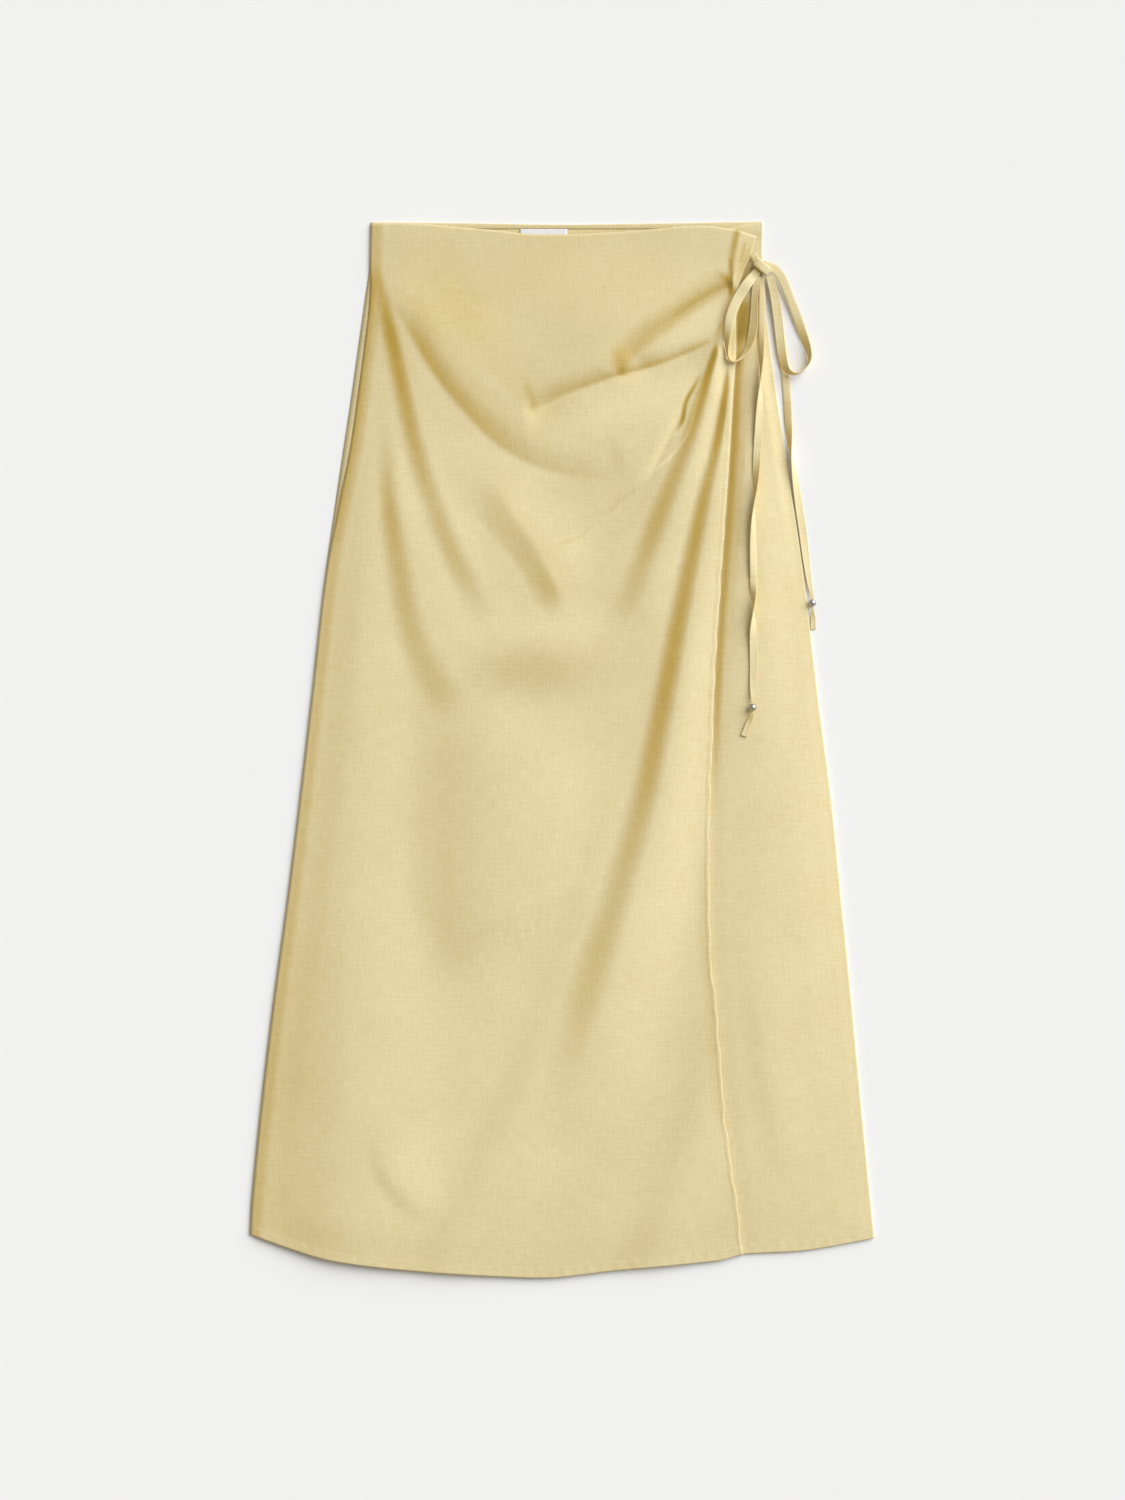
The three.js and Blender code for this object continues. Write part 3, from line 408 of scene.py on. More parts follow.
def painted_shading_at(x, down):
    """How much light (above zero) or shade is painted on the cloth, from the patches and the strokes."""
    patches = sum(patch_at(PAINTED_SHADING_COLUMNS, values, x, down) for values in PAINTED_SHADING_PATCHES.values())
    return patches + sum(fold_height(values, x, down) for values in PAINTED_SHADING_STROKES.values())


print(len(WRAP_FOLDS), "folds on the wrap front and", len(UNDER_FOLDS), "on the front beneath it")

# %% How high the cloth lies
CLEAR_OF_EDGE = 1  # the under front lies level until this far past the wrap's free edge
HEM_TURN = 7.5  # width of the turned hems
HEM_RISE = 0.12
HEM_PUCKER = 0.1
EDGE_LIP = 0.35  # how far the wrap's narrow edge hem stands up
UNDER_HEM_SHORT = 5
BESIDE_EDGE = 2.2  # how far the under front comes up out of the hollow beside the wrap's edge
SEAM_SHARE = 0.76  # what the side seams and the hem leave of the cloth's height
SEAM_WIDE = 40
LEFT_ROUNDING = 4  # the wrap rounds off over this width at the left side seam


def hem_step(distance, x):
    """A turned hem stands a little proud, puckers where it is stitched, and rounds off at its edge."""
    near_stitches = smooth(distance / 4) * smooth((11 - distance) / 4)
    pucker = HEM_PUCKER * np.sin(x / 1.9 + 1.4 * np.sin(x / 17)) * near_stitches
    return HEM_RISE * smooth((HEM_TURN + 1 - distance) / 1.6) + pucker - HEM_RISE * smooth(1 - distance)


def edge_lip(distance, down):
    """The narrow hem of the wrap's free edge stands up and falls back to its stitch line, unevenly."""
    uneven = 0.75 + 0.25 * np.sin(down / 3.7 + 1.5 * np.sin(down / 13))
    return EDGE_LIP * uneven * smooth(distance / 1.3) * (1 - smooth((distance - 1.3) / 3.2))


def edge_wave(distance, down):
    """The free edge isn't pressed: it waves from side to side by less than a millimetre."""
    wave = 0.35 * np.sin(down / 7.3 + 1.2 * np.sin(down / 31)) + 0.4 * np.sin(down / 4.1 + 2)
    return wave * smooth(1 - distance / 14) * smooth((down - 200) / 150)


def waist_lift(x, down, from_x, from_down):
    """What comes up over the waist facing does so along x and up towards the waist."""
    across = smooth((x - from_x) / (120 - from_x))
    upwards = smooth((from_down - down) / (from_down - 8))
    return (TRIM + SEAM_GAP) * across * upwards


def beside_wrap(x, down):
    """The under front comes up steeply out of the hollow at the wrap's free edge."""
    past_edge = (x - read(WRAP_EDGE, "down", "x", down) - CLEAR_OF_EDGE) / 8
    along = smooth((down - 50) / 70) * smooth((560 - down) / 160)
    up = np.sin(np.clip(past_edge, 0, 1) * math.pi / 2)
    return BESIDE_EDGE * along * up * smooth((10 - past_edge) / 9)


def pressed(x, down):
    """The share of its height that the cloth keeps: the side seams and the hem hold the layers down.

    At the left the wrap's seam lies a little inside the back's edge, from just below the waist to
    about 300 mm down. There it is held down more, so that the strip of the back stays in the light.
    """
    left, seam = read(SIDES, "down", "left", down), read(SIDES, "down", "seam", down)
    inside = np.minimum(x - left, read(SIDES, "down", "right", down) - x)
    inside = np.minimum(inside, read(HEM, "x", "down", x) - down)
    kept = SEAM_SHARE + (1 - SEAM_SHARE) * smooth(inside / SEAM_WIDE)
    sewn_down = 0.15 + 0.35 * smooth((seam - left) / 3)
    return kept * (1 - sewn_down * smooth(1 - (x - seam) / LEFT_ROUNDING))


def under_top(x, down):
    """Height of the under front's face, without its hem."""
    from_seam = smooth((read(SIDES, "down", "right", down) - x) / SEAM_RISE)
    lying = UNDER_BASE + CLOTH + waist_lift(x, down, 96, 17)
    clear = smooth((x - read(WRAP_EDGE, "down", "x", down) - CLEAR_OF_EDGE) / 15)
    folds = clear * folds_at(UNDER_FOLDS, UNDER_MOUNDS, x, down)
    return pressed(x, down) * (lying + from_seam * (folds + beside_wrap(x, down)))


def wrap_top(x, down):
    """Height of the wrap front's face, without its turned edges."""
    from_seam = smooth((x - read(SIDES, "down", "seam", down)) / SEAM_RISE)
    lying = UNDER_BASE + CLOTH + from_seam * (CLOTH + SEAM_GAP) + waist_lift(x, down, 50, 60)
    return pressed(x, down) * (lying + from_seam * folds_at(WRAP_FOLDS, WRAP_MOUNDS, x, down))


def wrap_face(x, down):
    """The wrap's upper face with its turned edges."""
    to_hem = read(HEM, "x", "down", x) - down
    to_edge = read(WRAP_EDGE, "down", "x", down) - x
    return wrap_top(x, down) + hem_step(to_hem, x) + edge_lip(to_edge, down)


def under_hem(x):
    """Where the under front ends: a little short of the wrap's hem where it lies beneath it."""
    return read(HEM, "x", "down", x) - UNDER_HEM_SHORT * smooth((160 - x) / 12)


def under_face(x, down):
    """The under front's upper face with its turned hem."""
    return under_top(x, down) + hem_step(under_hem(x) - down, x)


def ground_under_tie(x, down):
    """Height of what a tie would lie on: the wrap front, the under front or the floor."""
    on_under = x > read(WRAP_EDGE, "down", "x", down) + SEAM_GAP
    on_floor = x > read(SIDES, "down", "right", down) + SEAM_GAP
    return np.where(on_floor, 0, np.where(on_under, under_top(x, down), wrap_top(x, down)))


def resting_height(x, down):
    """How high the lowest point of the knot or of a bead is, at one place."""
    return float(ground_under_tie(np.array([x]), np.array([down]))[0]) + SEAM_GAP


sample = wrap_top(np.linspace(-150, 130, 57), np.full(57, 300.0))
lowest, highest = sample.min().round(1), sample.max().round(1)
print("300 mm down, the wrap front lies between", lowest, "and", highest, "mm high")

# %% [markdown]
# ## Linen
#
# The cloth is a plain-woven linen of about 160 g per square metre, dyed a pale butter yellow. Flax
# yarn is uneven: thick places, the slubs, run along single threads both ways, and that crosshatch is
# what the eye reads as linen. The surface is matt, with a faint sheen from fibre ends.
#
# The pattern reads the panel's own UV map, which holds the cut of the cloth in metres, so threads
# follow the cloth. Real threads are 0.4 mm apart, finer than the picture can show, so the weave is
# drawn as its slubs: streaks 1.5 mm wide and 14 mm long.
#
# In folds the colour is painted more golden than the dye: painted shade, for light that in real linen
# has come through two or three layers, or bounced between them. Each piece holds that as a value at
# every point, and also the painted light and shade of the strokes and patches, and the colour follows
# both.

# %% A helper for nodes


def add(tree, kind, settings=None, inputs=None):
    """Adds one node. Its settings are options; its inputs are values, or links from (node, socket)."""
    node = tree.nodes.new(kind)
    for name, value in (settings or {}).items():
        setattr(node, name, value)
    for name, value in (inputs or {}).items():
        if isinstance(value, tuple) and isinstance(value[0], bpy.types.Node):
            tree.links.new(value[0].outputs[value[1]], node.inputs[name])
        else:
            node.inputs[name].default_value = value
    return node


def bands(apart):
    """The scale that puts the bands of a wave texture this far apart: a unit of it is 20 radians."""
    return math.tau / (20 * apart)


def new_material(name):
    """An empty node material with its surface shader ready for links."""
    material = bpy.data.materials.new(name)
    material.use_nodes = True
    tree = material.node_tree
    return material, tree, tree.nodes["Principled BSDF"]


# %% The linen
SLUB_WIDE = 1.5 * MM
SLUB_LONG = 14 * MM
THREAD = 1.1 * MM
CLOUD = 55 * MM  # size of the patches that took the dye unevenly
# painted shade: the colour that the dye is multiplied by where a fold turns away from the lamp
PAINTED_SHADE_TINT = "FFE892"


def slubs(tree, turned):
    """The thick places of single threads, along both ways of the weave and added together."""
    streaks = []
    for wide, long in ((SLUB_WIDE, SLUB_LONG), (SLUB_LONG, SLUB_WIDE)):
        stretched = add(tree, "ShaderNodeMapping", {}, {
            "Vector": (turned, "Vector"), "Scale": (1 / wide, 1 / long, 1),
        })
        streaks.append(add(tree, "ShaderNodeTexNoise", {}, {
            "Vector": (stretched, "Vector"), "Scale": 1.0, "Detail": 2.0, "Roughness": 0.6,
        }))
    return add(tree, "ShaderNodeMath", {"operation": "ADD"}, {
        0: (streaks[0], "Fac"), 1: (streaks[1], "Fac"),
    })


def dye_and_painted_shading(tree, turned, both, light, dark):
    """Two tones mixed by the slubs, a little cloudy, with golden painted shade in folds, then made paler
    or deeper by painted light and shade.
    """
    cloudy = add(tree, "ShaderNodeTexNoise", {}, {
        "Vector": (turned, "Vector"), "Scale": 1 / CLOUD, "Detail": 3.0,
    })
    weight = add(tree, "ShaderNodeMath", {"operation": "MULTIPLY_ADD"}, {
        0: (cloudy, "Fac"), 1: 0.5, 2: (both, "Value"),
    })
    share = add(tree, "ShaderNodeMapRange", {}, {
        "Value": (weight, "Value"), "From Min": 0.85, "From Max": 1.65,
    })
    # the colour sockets of a Mix node share their names with others, so they are told by their place
    dyed = add(tree, "ShaderNodeMix", {"data_type": "RGBA"}, {
        "Factor": (share, "Result"), 6: linear(dark), 7: linear(light),
    })
    # painted golden shade: the colour turns golden where a place turns away from the lamp
    depth = add(tree, "ShaderNodeAttribute", {"attribute_name": "depth"})
    golden_painted_shade = add(tree, "ShaderNodeMix", {"data_type": "RGBA", "blend_type": "MULTIPLY"}, {
        "Factor": (depth, "Fac"), 6: (dyed, 2), 7: linear(PAINTED_SHADE_TINT),
    })
    # painted light and shade: the strokes and patches make the colour paler or deeper
    tone = add(tree, "ShaderNodeAttribute", {"attribute_name": "tone"})
    level = add(tree, "ShaderNodeMath", {"operation": "ADD"}, {0: (tone, "Fac"), 1: 1.0})
    return add(tree, "ShaderNodeHueSaturation", {}, {"Value": (level, "Value"), "Color": (golden_painted_shade, 2)})


def crossed_threads(tree, turned, both):
    """The bump of threads that cross, with the slubs thicker than the rest."""
    weave = []
    for direction in ("X", "Y"):
        weave.append(add(tree, "ShaderNodeTexWave", {"bands_direction": direction}, {
            "Vector": (turned, "Vector"), "Scale": bands(THREAD),
            "Distortion": 2.6, "Detail": 2.0, "Detail Scale": 2.0,
        }))
    crossing = add(tree, "ShaderNodeMath", {"operation": "MULTIPLY"}, {
        0: (weave[0], "Fac"), 1: (weave[1], "Fac"),
    })
    height = add(tree, "ShaderNodeMath", {"operation": "MULTIPLY_ADD"}, {
        0: (crossing, "Value"), 1: 0.4, 2: (both, "Value"),
    })
    return add(tree, "ShaderNodeBump", {}, {
        "Height": (height, "Value"), "Strength": 0.35, "Distance": 0.25 * MM,
    })


def linen(name, light, dark, grain_turn=0.0):
    """Plain-woven linen in two tones of one dye, matt where its slubs are and with a faint sheen."""
    material, tree, shader = new_material(name)
    cut = add(tree, "ShaderNodeUVMap", {"uv_map": "cut"})
    turned = add(tree, "ShaderNodeMapping", {}, {"Vector": (cut, "UV"), "Rotation": (0, 0, grain_turn)})
    both = slubs(tree, turned)
    dyed_and_painted = dye_and_painted_shading(tree, turned, both, light, dark)
    tree.links.new(dyed_and_painted.outputs["Color"], shader.inputs["Base Color"])
    bump = crossed_threads(tree, turned, both)
    tree.links.new(bump.outputs["Normal"], shader.inputs["Normal"])
    rough = add(tree, "ShaderNodeMapRange", {}, {
        "Value": (both, "Value"), "From Min": 0.6, "From Max": 1.4, "To Min": 0.78, "To Max": 0.9,
    })
    tree.links.new(rough.outputs["Result"], shader.inputs["Roughness"])
    shader.inputs["IOR"].default_value = 1.46
    shader.inputs["Specular IOR Level"].default_value = 0.25
    shader.inputs["Sheen Weight"].default_value = 0.12
    shader.inputs["Sheen Roughness"].default_value = 0.5
    return material


panel_linen = linen("butter_linen", "E6D8AD", "DAC794")
# the ties' copy of the linen is a shade paler than the panels': painted light on the ties
tie_linen = linen("butter_linen_tie", "EADCB2", "DFCD9A", math.radians(1.5))
print("linen materials:", panel_linen.name, tie_linen.name)

# %% [markdown]
# ## Thread, label and beads
#
# Sewing thread is spun polyester, dyed to match and a shade lighter than the cloth, with a slight
# gloss along it. The label is a soft white satin tape with fine ribs, left bare. The beads are cast
# metal with a bright nickel plating: nearly a mirror, dulled by fine scratches.

# %% Thread
thread, tree, shader = new_material("sewing_thread")
place = add(tree, "ShaderNodeTexCoord")
ply = add(tree, "ShaderNodeTexNoise", {}, {"Vector": (place, "Object"), "Scale": 1 / (0.8 * MM)})
shade = add(tree, "ShaderNodeValToRGB", {}, {"Fac": (ply, "Fac")})
shade.color_ramp.elements[0].color = linear("CDB880")
shade.color_ramp.elements[1].color = linear("E2D2A2")
tree.links.new(shade.outputs["Color"], shader.inputs["Base Color"])
shader.inputs["Roughness"].default_value = 0.6
twist = add(tree, "ShaderNodeBump", {}, {"Height": (ply, "Fac"), "Strength": 0.3, "Distance": 0.1 * MM})
tree.links.new(twist.outputs["Normal"], shader.inputs["Normal"])

# %% Label tape
RIB = 0.6 * MM
tape, tree, shader = new_material("satin_tape")
cut = add(tree, "ShaderNodeUVMap", {"uv_map": "cut"})
ribs = add(tree, "ShaderNodeTexWave", {"bands_direction": "Y"}, {
    "Vector": (cut, "UV"), "Scale": bands(RIB), "Distortion": 0.4,
})
shade = add(tree, "ShaderNodeValToRGB", {}, {"Fac": (ribs, "Fac")})
shade.color_ramp.elements[0].color = linear("DCDFE3")
shade.color_ramp.elements[1].color = linear("EEF0F2")
tree.links.new(shade.outputs["Color"], shader.inputs["Base Color"])
ribbed = add(tree, "ShaderNodeBump", {}, {"Height": (ribs, "Fac"), "Strength": 0.4, "Distance": 0.1 * MM})
tree.links.new(ribbed.outputs["Normal"], shader.inputs["Normal"])
shader.inputs["Roughness"].default_value = 0.45
shader.inputs["Sheen Weight"].default_value = 0.2

# %% Nickel plating
nickel, tree, shader = new_material("nickel_plating")
place = add(tree, "ShaderNodeTexCoord")
wear = add(tree, "ShaderNodeTexNoise", {}, {
    "Vector": (place, "Object"), "Scale": 1 / (1.1 * MM), "Detail": 4.0,
})
shade = add(tree, "ShaderNodeValToRGB", {}, {"Fac": (wear, "Fac")})
shade.color_ramp.elements[0].color = linear("A9A9A3")
shade.color_ramp.elements[1].color = linear("D8D8D4")
tree.links.new(shade.outputs["Color"], shader.inputs["Base Color"])
scratched = add(tree, "ShaderNodeMapRange", {}, {"Value": (wear, "Fac"), "To Min": 0.16, "To Max": 0.36})
tree.links.new(scratched.outputs["Result"], shader.inputs["Roughness"])
shader.inputs["Metallic"].default_value = 1.0
dents = add(tree, "ShaderNodeBump", {}, {"Height": (wear, "Fac"), "Strength": 0.25, "Distance": 0.1 * MM})
tree.links.new(dents.outputs["Normal"], shader.inputs["Normal"])
print("small materials:", thread.name, tape.name, nickel.name)

# %% [markdown]
# ## The floor
#
# A plain pale surface, matt like painted board, with only the faintest unevenness.

# %% Floor
FLOOR_HALF = 3.0
board, tree, shader = new_material("painted_board")
place = add(tree, "ShaderNodeTexCoord")
mottle = add(tree, "ShaderNodeTexNoise", {}, {"Vector": (place, "Object"), "Scale": 6.0})
shade = add(tree, "ShaderNodeValToRGB", {}, {"Fac": (mottle, "Fac")})
shade.color_ramp.elements[0].color = linear("F1F1F1")
shade.color_ramp.elements[1].color = linear("F3F3F3")
tree.links.new(shade.outputs["Color"], shader.inputs["Base Color"])
shader.inputs["Roughness"].default_value = 0.95
shader.inputs["Specular IOR Level"].default_value = 0.0

bm = bmesh.new()
bmesh.ops.create_grid(bm, x_segments=1, y_segments=1, size=FLOOR_HALF)
floor_mesh = bpy.data.meshes.new("floor")
bm.to_mesh(floor_mesh)
bm.free()
floor = bpy.data.objects.new("floor", floor_mesh)
floor.data.materials.append(board)
bpy.context.collection.objects.link(floor)
print("floor is", 2 * FLOOR_HALF, "m square")

# %% [markdown]
# ## Cloth pieces
#
# Every cloth piece starts as a flat grid, one unit wide and long, whose places are then moved to where
# the cloth lies. The same places, seen in plan, become its UV map in metres. A Solidify modifier gives
# it the thickness of a turned edge. The grid isn't even: its lines are closer where the cloth is
# busier. The steeper a place turns away from the lamp, the more golden shade is painted on it.

# %% Make a piece of cloth
# painted shade: the golden tint is full at this slope away from the lamp
FULL_PAINTED_SHADE_SLOPE = 0.44  # slope away from the lamp at which the golden tint is full


def finish_piece(name, bm, material, replaced=()):
    """Turns a bmesh into an object that rides on the skirt's one body."""
    mesh = bpy.data.meshes.new(name)
    bm.to_mesh(mesh)
    bm.free()
    mesh.materials.append(material)
    mesh.polygons.foreach_set("use_smooth", [True] * len(mesh.polygons))
    piece = bpy.data.objects.new(name, mesh)
    bpy.context.collection.objects.link(piece)
    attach(piece, "root")
    if replaced:
        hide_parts(*replaced)
    return piece


def cut_in_plan(bm, cut):
    """Fills a UV map with the places of the corners as seen from above."""
    for face in bm.faces:
        for loop in face.loops:
            loop[cut].uv = loop.vert.co.xy


def paint_fold_shade(piece, tone, share=1.0):
    """Paints shade into the linen's colour through two values: golden shade where a place turns from the
    lamp, and the painted light and shade of the strokes and patches.
    """
    normals = np.array([v.normal[:] for v in piece.data.vertices])
    upward = np.where(normals[:, 2] < 0, -1, 1)
    turned_away = -upward * (normals @ np.array([*TO_LAMP, 0])) / np.maximum(np.abs(normals[:, 2]), 0.1)
    depth = share * np.clip(smooth(turned_away / FULL_PAINTED_SHADE_SLOPE) - 2.5 * np.minimum(tone, 0), 0, 1)
    for attribute, values in (("depth", depth), ("tone", tone)):
        layer = piece.data.attributes.new(attribute, "FLOAT", "POINT")
        layer.data.foreach_set("value", values.astype(np.float32))


def cloth(name, across, along, place, material, wall, replaced=()):
    """A grid with lines at the given shares, moved by place(u, v) to (x, down, height) in mm."""
    bm = bmesh.new()
    cut = bm.loops.layers.uv.new("cut")
    bmesh.ops.create_grid(bm, x_segments=len(across) - 1, y_segments=len(along) - 1, size=0.5)
    bm.verts.ensure_lookup_table()
    flat = np.array([v.co[:] for v in bm.verts])
    u = np.array(across)[np.rint((flat[:, 0] + 0.5) * (len(across) - 1)).astype(int)]
    v = np.array(along)[np.rint((0.5 - flat[:, 1]) * (len(along) - 1)).astype(int)]
    x, down, high = place(u, v)
    points = np.stack([x, WAIST_Y - down, high], axis=1) * MM
    for vert, point in zip(bm.verts, points):
        vert.co = point
    cut_in_plan(bm, cut)
    piece = finish_piece(name, bm, material, replaced)
    # painted golden shade in the folds, and the painted light and shade of the strokes and patches
    paint_fold_shade(piece, painted_shading_at(x, down))
    held = piece.vertex_groups.new(name="wall")
    held.add(list(range(len(x))), 1.0, "REPLACE")
    share = pressed(x, down)
    for i in np.flatnonzero(share < 0.999):
        held.add([int(i)], float(share[i]), "REPLACE")
    thick = piece.modifiers.new("wall", "SOLIDIFY")
    thick.thickness = wall * MM
    thick.offset = -1
    thick.vertex_group = held.name
    return piece


def inside_edges(top, hem, left, right, u, v):
    """A place inside four edges, each given as a function of its share that returns (x, down)."""
    def blend(a, b, t):
        return a + (b - a) * t

    corners = [edge(np.array([end]))[k][0] for edge in (top, hem) for end in (0.0, 1.0) for k in (0, 1)]
    place = []
    for k in (0, 1):
        tl, tr, hl, hr = corners[k], corners[2 + k], corners[4 + k], corners[6 + k]
        sides = blend(left(v)[k], right(v)[k], u)
        ends = blend(top(u)[k], hem(u)[k], v)
        place.append(sides + ends - blend(blend(tl, tr, u), blend(hl, hr, u), v))
    return place


def spaced(*stretches):
    """Shares from 0 to 1, as (end, count) for each stretch."""
    shares, start = [0.0], 0.0
    for end, count in stretches:
        shares += list(np.linspace(start, end, count + 1)[1:])
        start = end
    return shares


def along_x(table, to_x=None, shift=0.0):
    """An edge that runs across the skirt, such as a waist or a hem, from the table's first x."""
    from_x = table["x"][0]
    to_x = table["x"][-1] if to_x is None else to_x

    def at(share):
        x = from_x + (to_x - from_x) * share
        return x, read(table, "x", "down", x) + shift

    return at


def down_side(table, column, from_down, to_down):
    """An edge that runs down the skirt, such as a side or the wrap's free edge."""
    def at(share):
        down = from_down + (to_down - from_down) * share
        return read(table, "down", column, down), down

    return at


# %% [markdown]
# ## The back panel
#
# The back lies flat on the floor. Only its left edge and the inside of its waist show, so an even
# grid is enough.

# %% Back panel
BACK_HEM_SHORT = 3


def back_place(u, v):
    """Where the back lies, from its waist (v = 0) to its hem."""
    x, down = inside_edges(
        along_x(BACK_WAIST),
        along_x(HEM, shift=-BACK_HEM_SHORT),
        down_side(SIDES, "left", BACK_WAIST["down"][0], HEM["down"][0] - BACK_HEM_SHORT),
        down_side(SIDES, "right", BACK_WAIST["down"][-1], HEM["down"][-1] - BACK_HEM_SHORT),
        u, v,
    )
    return x, down, CLOTH * pressed(x, down)


back_panel = cloth("back_panel_cloth", spaced((1, 90)), spaced((1, 140)), back_place,
    panel_linen, CLOTH - 0.1, ["back_panel"])
print("back panel:", len(back_panel.data.polygons), "faces")

# %% [markdown]
# ## The under front
#
# This front lies plain under the wrap and comes out past its free edge, where it has a low ridge and a
# stitched hem. Its left edge is hidden, a little inside the left side seam.

# %% Under front
UNDER_LEFT_HEM = -258  # x of its hidden lower left corner
UNDER_INSIDE = (15.9, 22.8)  # how far its left edge lies inside the seam at the waist and at the hem


def under_bottom_edge(share):
    """The under front's hem."""
    x = UNDER_LEFT_HEM + (HEM["x"][-1] - UNDER_LEFT_HEM) * share
    return x, under_hem(x)


def under_left_edge(share):
    """The under front's hidden left edge."""
    top, bottom = UNDER_WAIST["down"][0], under_hem(UNDER_LEFT_HEM)
    down = top + (bottom - top) * share
    inside = UNDER_INSIDE[0] + (UNDER_INSIDE[1] - UNDER_INSIDE[0]) * share
    return read(SIDES, "down", "seam", down) + inside, down


def under_place(u, v):
    """Where the under front lies, from its waist (v = 0) to its hem."""
    x, down = inside_edges(
        along_x(UNDER_WAIST),
        under_bottom_edge,
        under_left_edge,
        down_side(SIDES, "right", UNDER_WAIST["down"][-1], HEM["down"][-1]),
        u, v,
    )
    return x, down, under_face(x, down)


under_front = cloth("under_front_cloth", spaced((0.55, 30), (0.99, 120), (1, 4)),
    spaced((0.985, 240), (1, 14)), under_place,
    panel_linen, CLOTH - 0.2, ["under_front"])
print("under front:", len(under_front.data.polygons), "faces")

# %% [markdown]
# ## The wrap front
#
# The largest piece: it is sewn into the left side seam, crosses the whole front and is gathered to the
# bow at its free edge. Its grid is finest around the pleats.

# %% Wrap front


def wrap_place(u, v):
    """Where the wrap front lies, from its waist (v = 0) to its hem."""
    x, down = inside_edges(
        along_x(WRAP_WAIST),
        along_x(HEM, to_x=WRAP_EDGE["x"][-1]),
        down_side(SIDES, "seam", WRAP_WAIST["down"][0], HEM["down"][0]),
        down_side(WRAP_EDGE, "x", WRAP_WAIST["down"][-1], WRAP_EDGE["down"][-1]),
        u, v,
    )
    high = wrap_face(x, down)
    to_edge = read(WRAP_EDGE, "down", "x", down) - x
    return x + edge_wave(to_edge, down), down, high


wrap_front = cloth("wrap_front_cloth", spaced((0.04, 6), (0.55, 64), (0.975, 104), (1, 14)),
    spaced((0.34, 138), (0.985, 106), (1, 12)), wrap_place,
    panel_linen, CLOTH - 0.2, ["wrap_front"])
print("wrap front:", len(wrap_front.data.polygons), "faces")

# %% [markdown]
# ## Facing and label
#
# Two narrow pieces on the inside of the back waist: a turning of the back's own cloth along the
# whole waist, and a tape sewn in below it. The wrap front hides the tape's lower edge.

# %% Facing and label
FACING_HIGH = 0.6  # their faces above the back's
FACING_LEFT, FACING_WIDE = -157, 329
LABEL_LEFT, LABEL_WIDE, LABEL_LONG = -37.8, 42.3, 10.3


def facing_face(x, down):
    """Height of the facing and of the label."""
    return CLOTH * pressed(x, down) + FACING_HIGH


def facing_place(u, v):
    """Where the facing lies, just below the edge of the back's waist."""
    x = FACING_LEFT + FACING_WIDE * u
    top = read(BACK_WAIST, "x", "down", x) + SEAM_GAP
    down = top + (FACING_BOTTOM - top) * v
    return x, down, facing_face(x, down)


facing = cloth("waist_facing_cloth", spaced((1, 160)), spaced((1, 6)), facing_place,
    panel_linen, 0.5, ["waist_facing"])


def label_place(u, v):
    """Where the label lies, below the facing."""
    x, down = LABEL_LEFT + LABEL_WIDE * u, FACING_BOTTOM + SEAM_GAP + LABEL_LONG * v
    return x, down, facing_face(x, down)


label = cloth("label_tape", spaced((1, 30)), spaced((1, 10)), label_place,
    tape, 0.4, ["label"])
print("facing is", FACING_WIDE, "mm long and the label", LABEL_WIDE, "mm")

# %% [markdown]
# ## Ties and bow
#
# A tie is a strip sewn double, 7 to 9 mm wide. It is carried along a line that is listed below, and
# turned about its own length where it twists, so it stands on its edge round the ends of the loops.
# Each row below is one place on that line: x, how far down from the waist, how high above what it
# lies on, by how many degrees it is turned, and its width.

# %% Routes of the ties
IN_BEAD = BEAD_RADIUS - TIE / 2
TIE_STRAP = [(171.4, 29.8, -0.2, 0, 5.4), (173.6, 33.4, 0.6, 0, 6.4), (176, 37.4, 1.6, 0, 6.6)]
BOW_LOOP_LEFT = [
    (177.6, 43.4, 3.8, 0, 6.6), (174.2, 46.8, 3.4, 0, 7.4), (168.8, 53.3, 2.2, 0, 8.6),
    (161.6, 63.9, 1, 0, 9.2), (155.4, 75.2, 0.3, 0, 9.2), (150.8, 88.2, 0, 6, 9),
    (148.6, 101, 0, 30, 8.2), (147.8, 113, 0, 62, 6.2), (149, 122.8, 0, 84, 5),
    (153.8, 127, 0, 95, 4.8), (160.8, 123.6, 0, 114, 5.2), (167.4, 113.4, 0, 140, 6.8),
    (171.2, 98.6, 0, 152, 8.5), (172.7, 82, 0, 156, 7.4), (173.2, 67, 0.4, 160, 6.4),
    (174.4, 55, 1.6, 172, 5.6), (176.6, 49, 2.4, 180, 4.6),
]
BOW_LOOP_RIGHT = [
    (182.6, 41.2, 6.6, 0, 7), (187.2, 41.9, 6.4, 0, 8.2), (192, 44.3, 5.6, 0, 8.6),
    (198, 52, 4.2, 0, 8.2), (204.4, 67, 2.6, 0, 7.6), (211.4, 85.5, 1.4, 6, 8.4),
    (216.2, 99.9, 0.6, 22, 8.4), (220.8, 113.4, 0, 48, 8.4), (222.8, 124.2, 0, 76, 8.4),
    (218, 133, 0, 90, 8.4), (209.6, 137.3, 1.2, 98, 8.4), (202.4, 134, 2, 124, 8.4),
    (198.8, 124.2, 2, 154, 8), (196.4, 108, 2, 172, 8), (194, 86, 2.6, 180, 8.4),
    (190.8, 66, 4.2, 180, 8), (186.6, 50.4, 6.4, 180, 6.6),
]
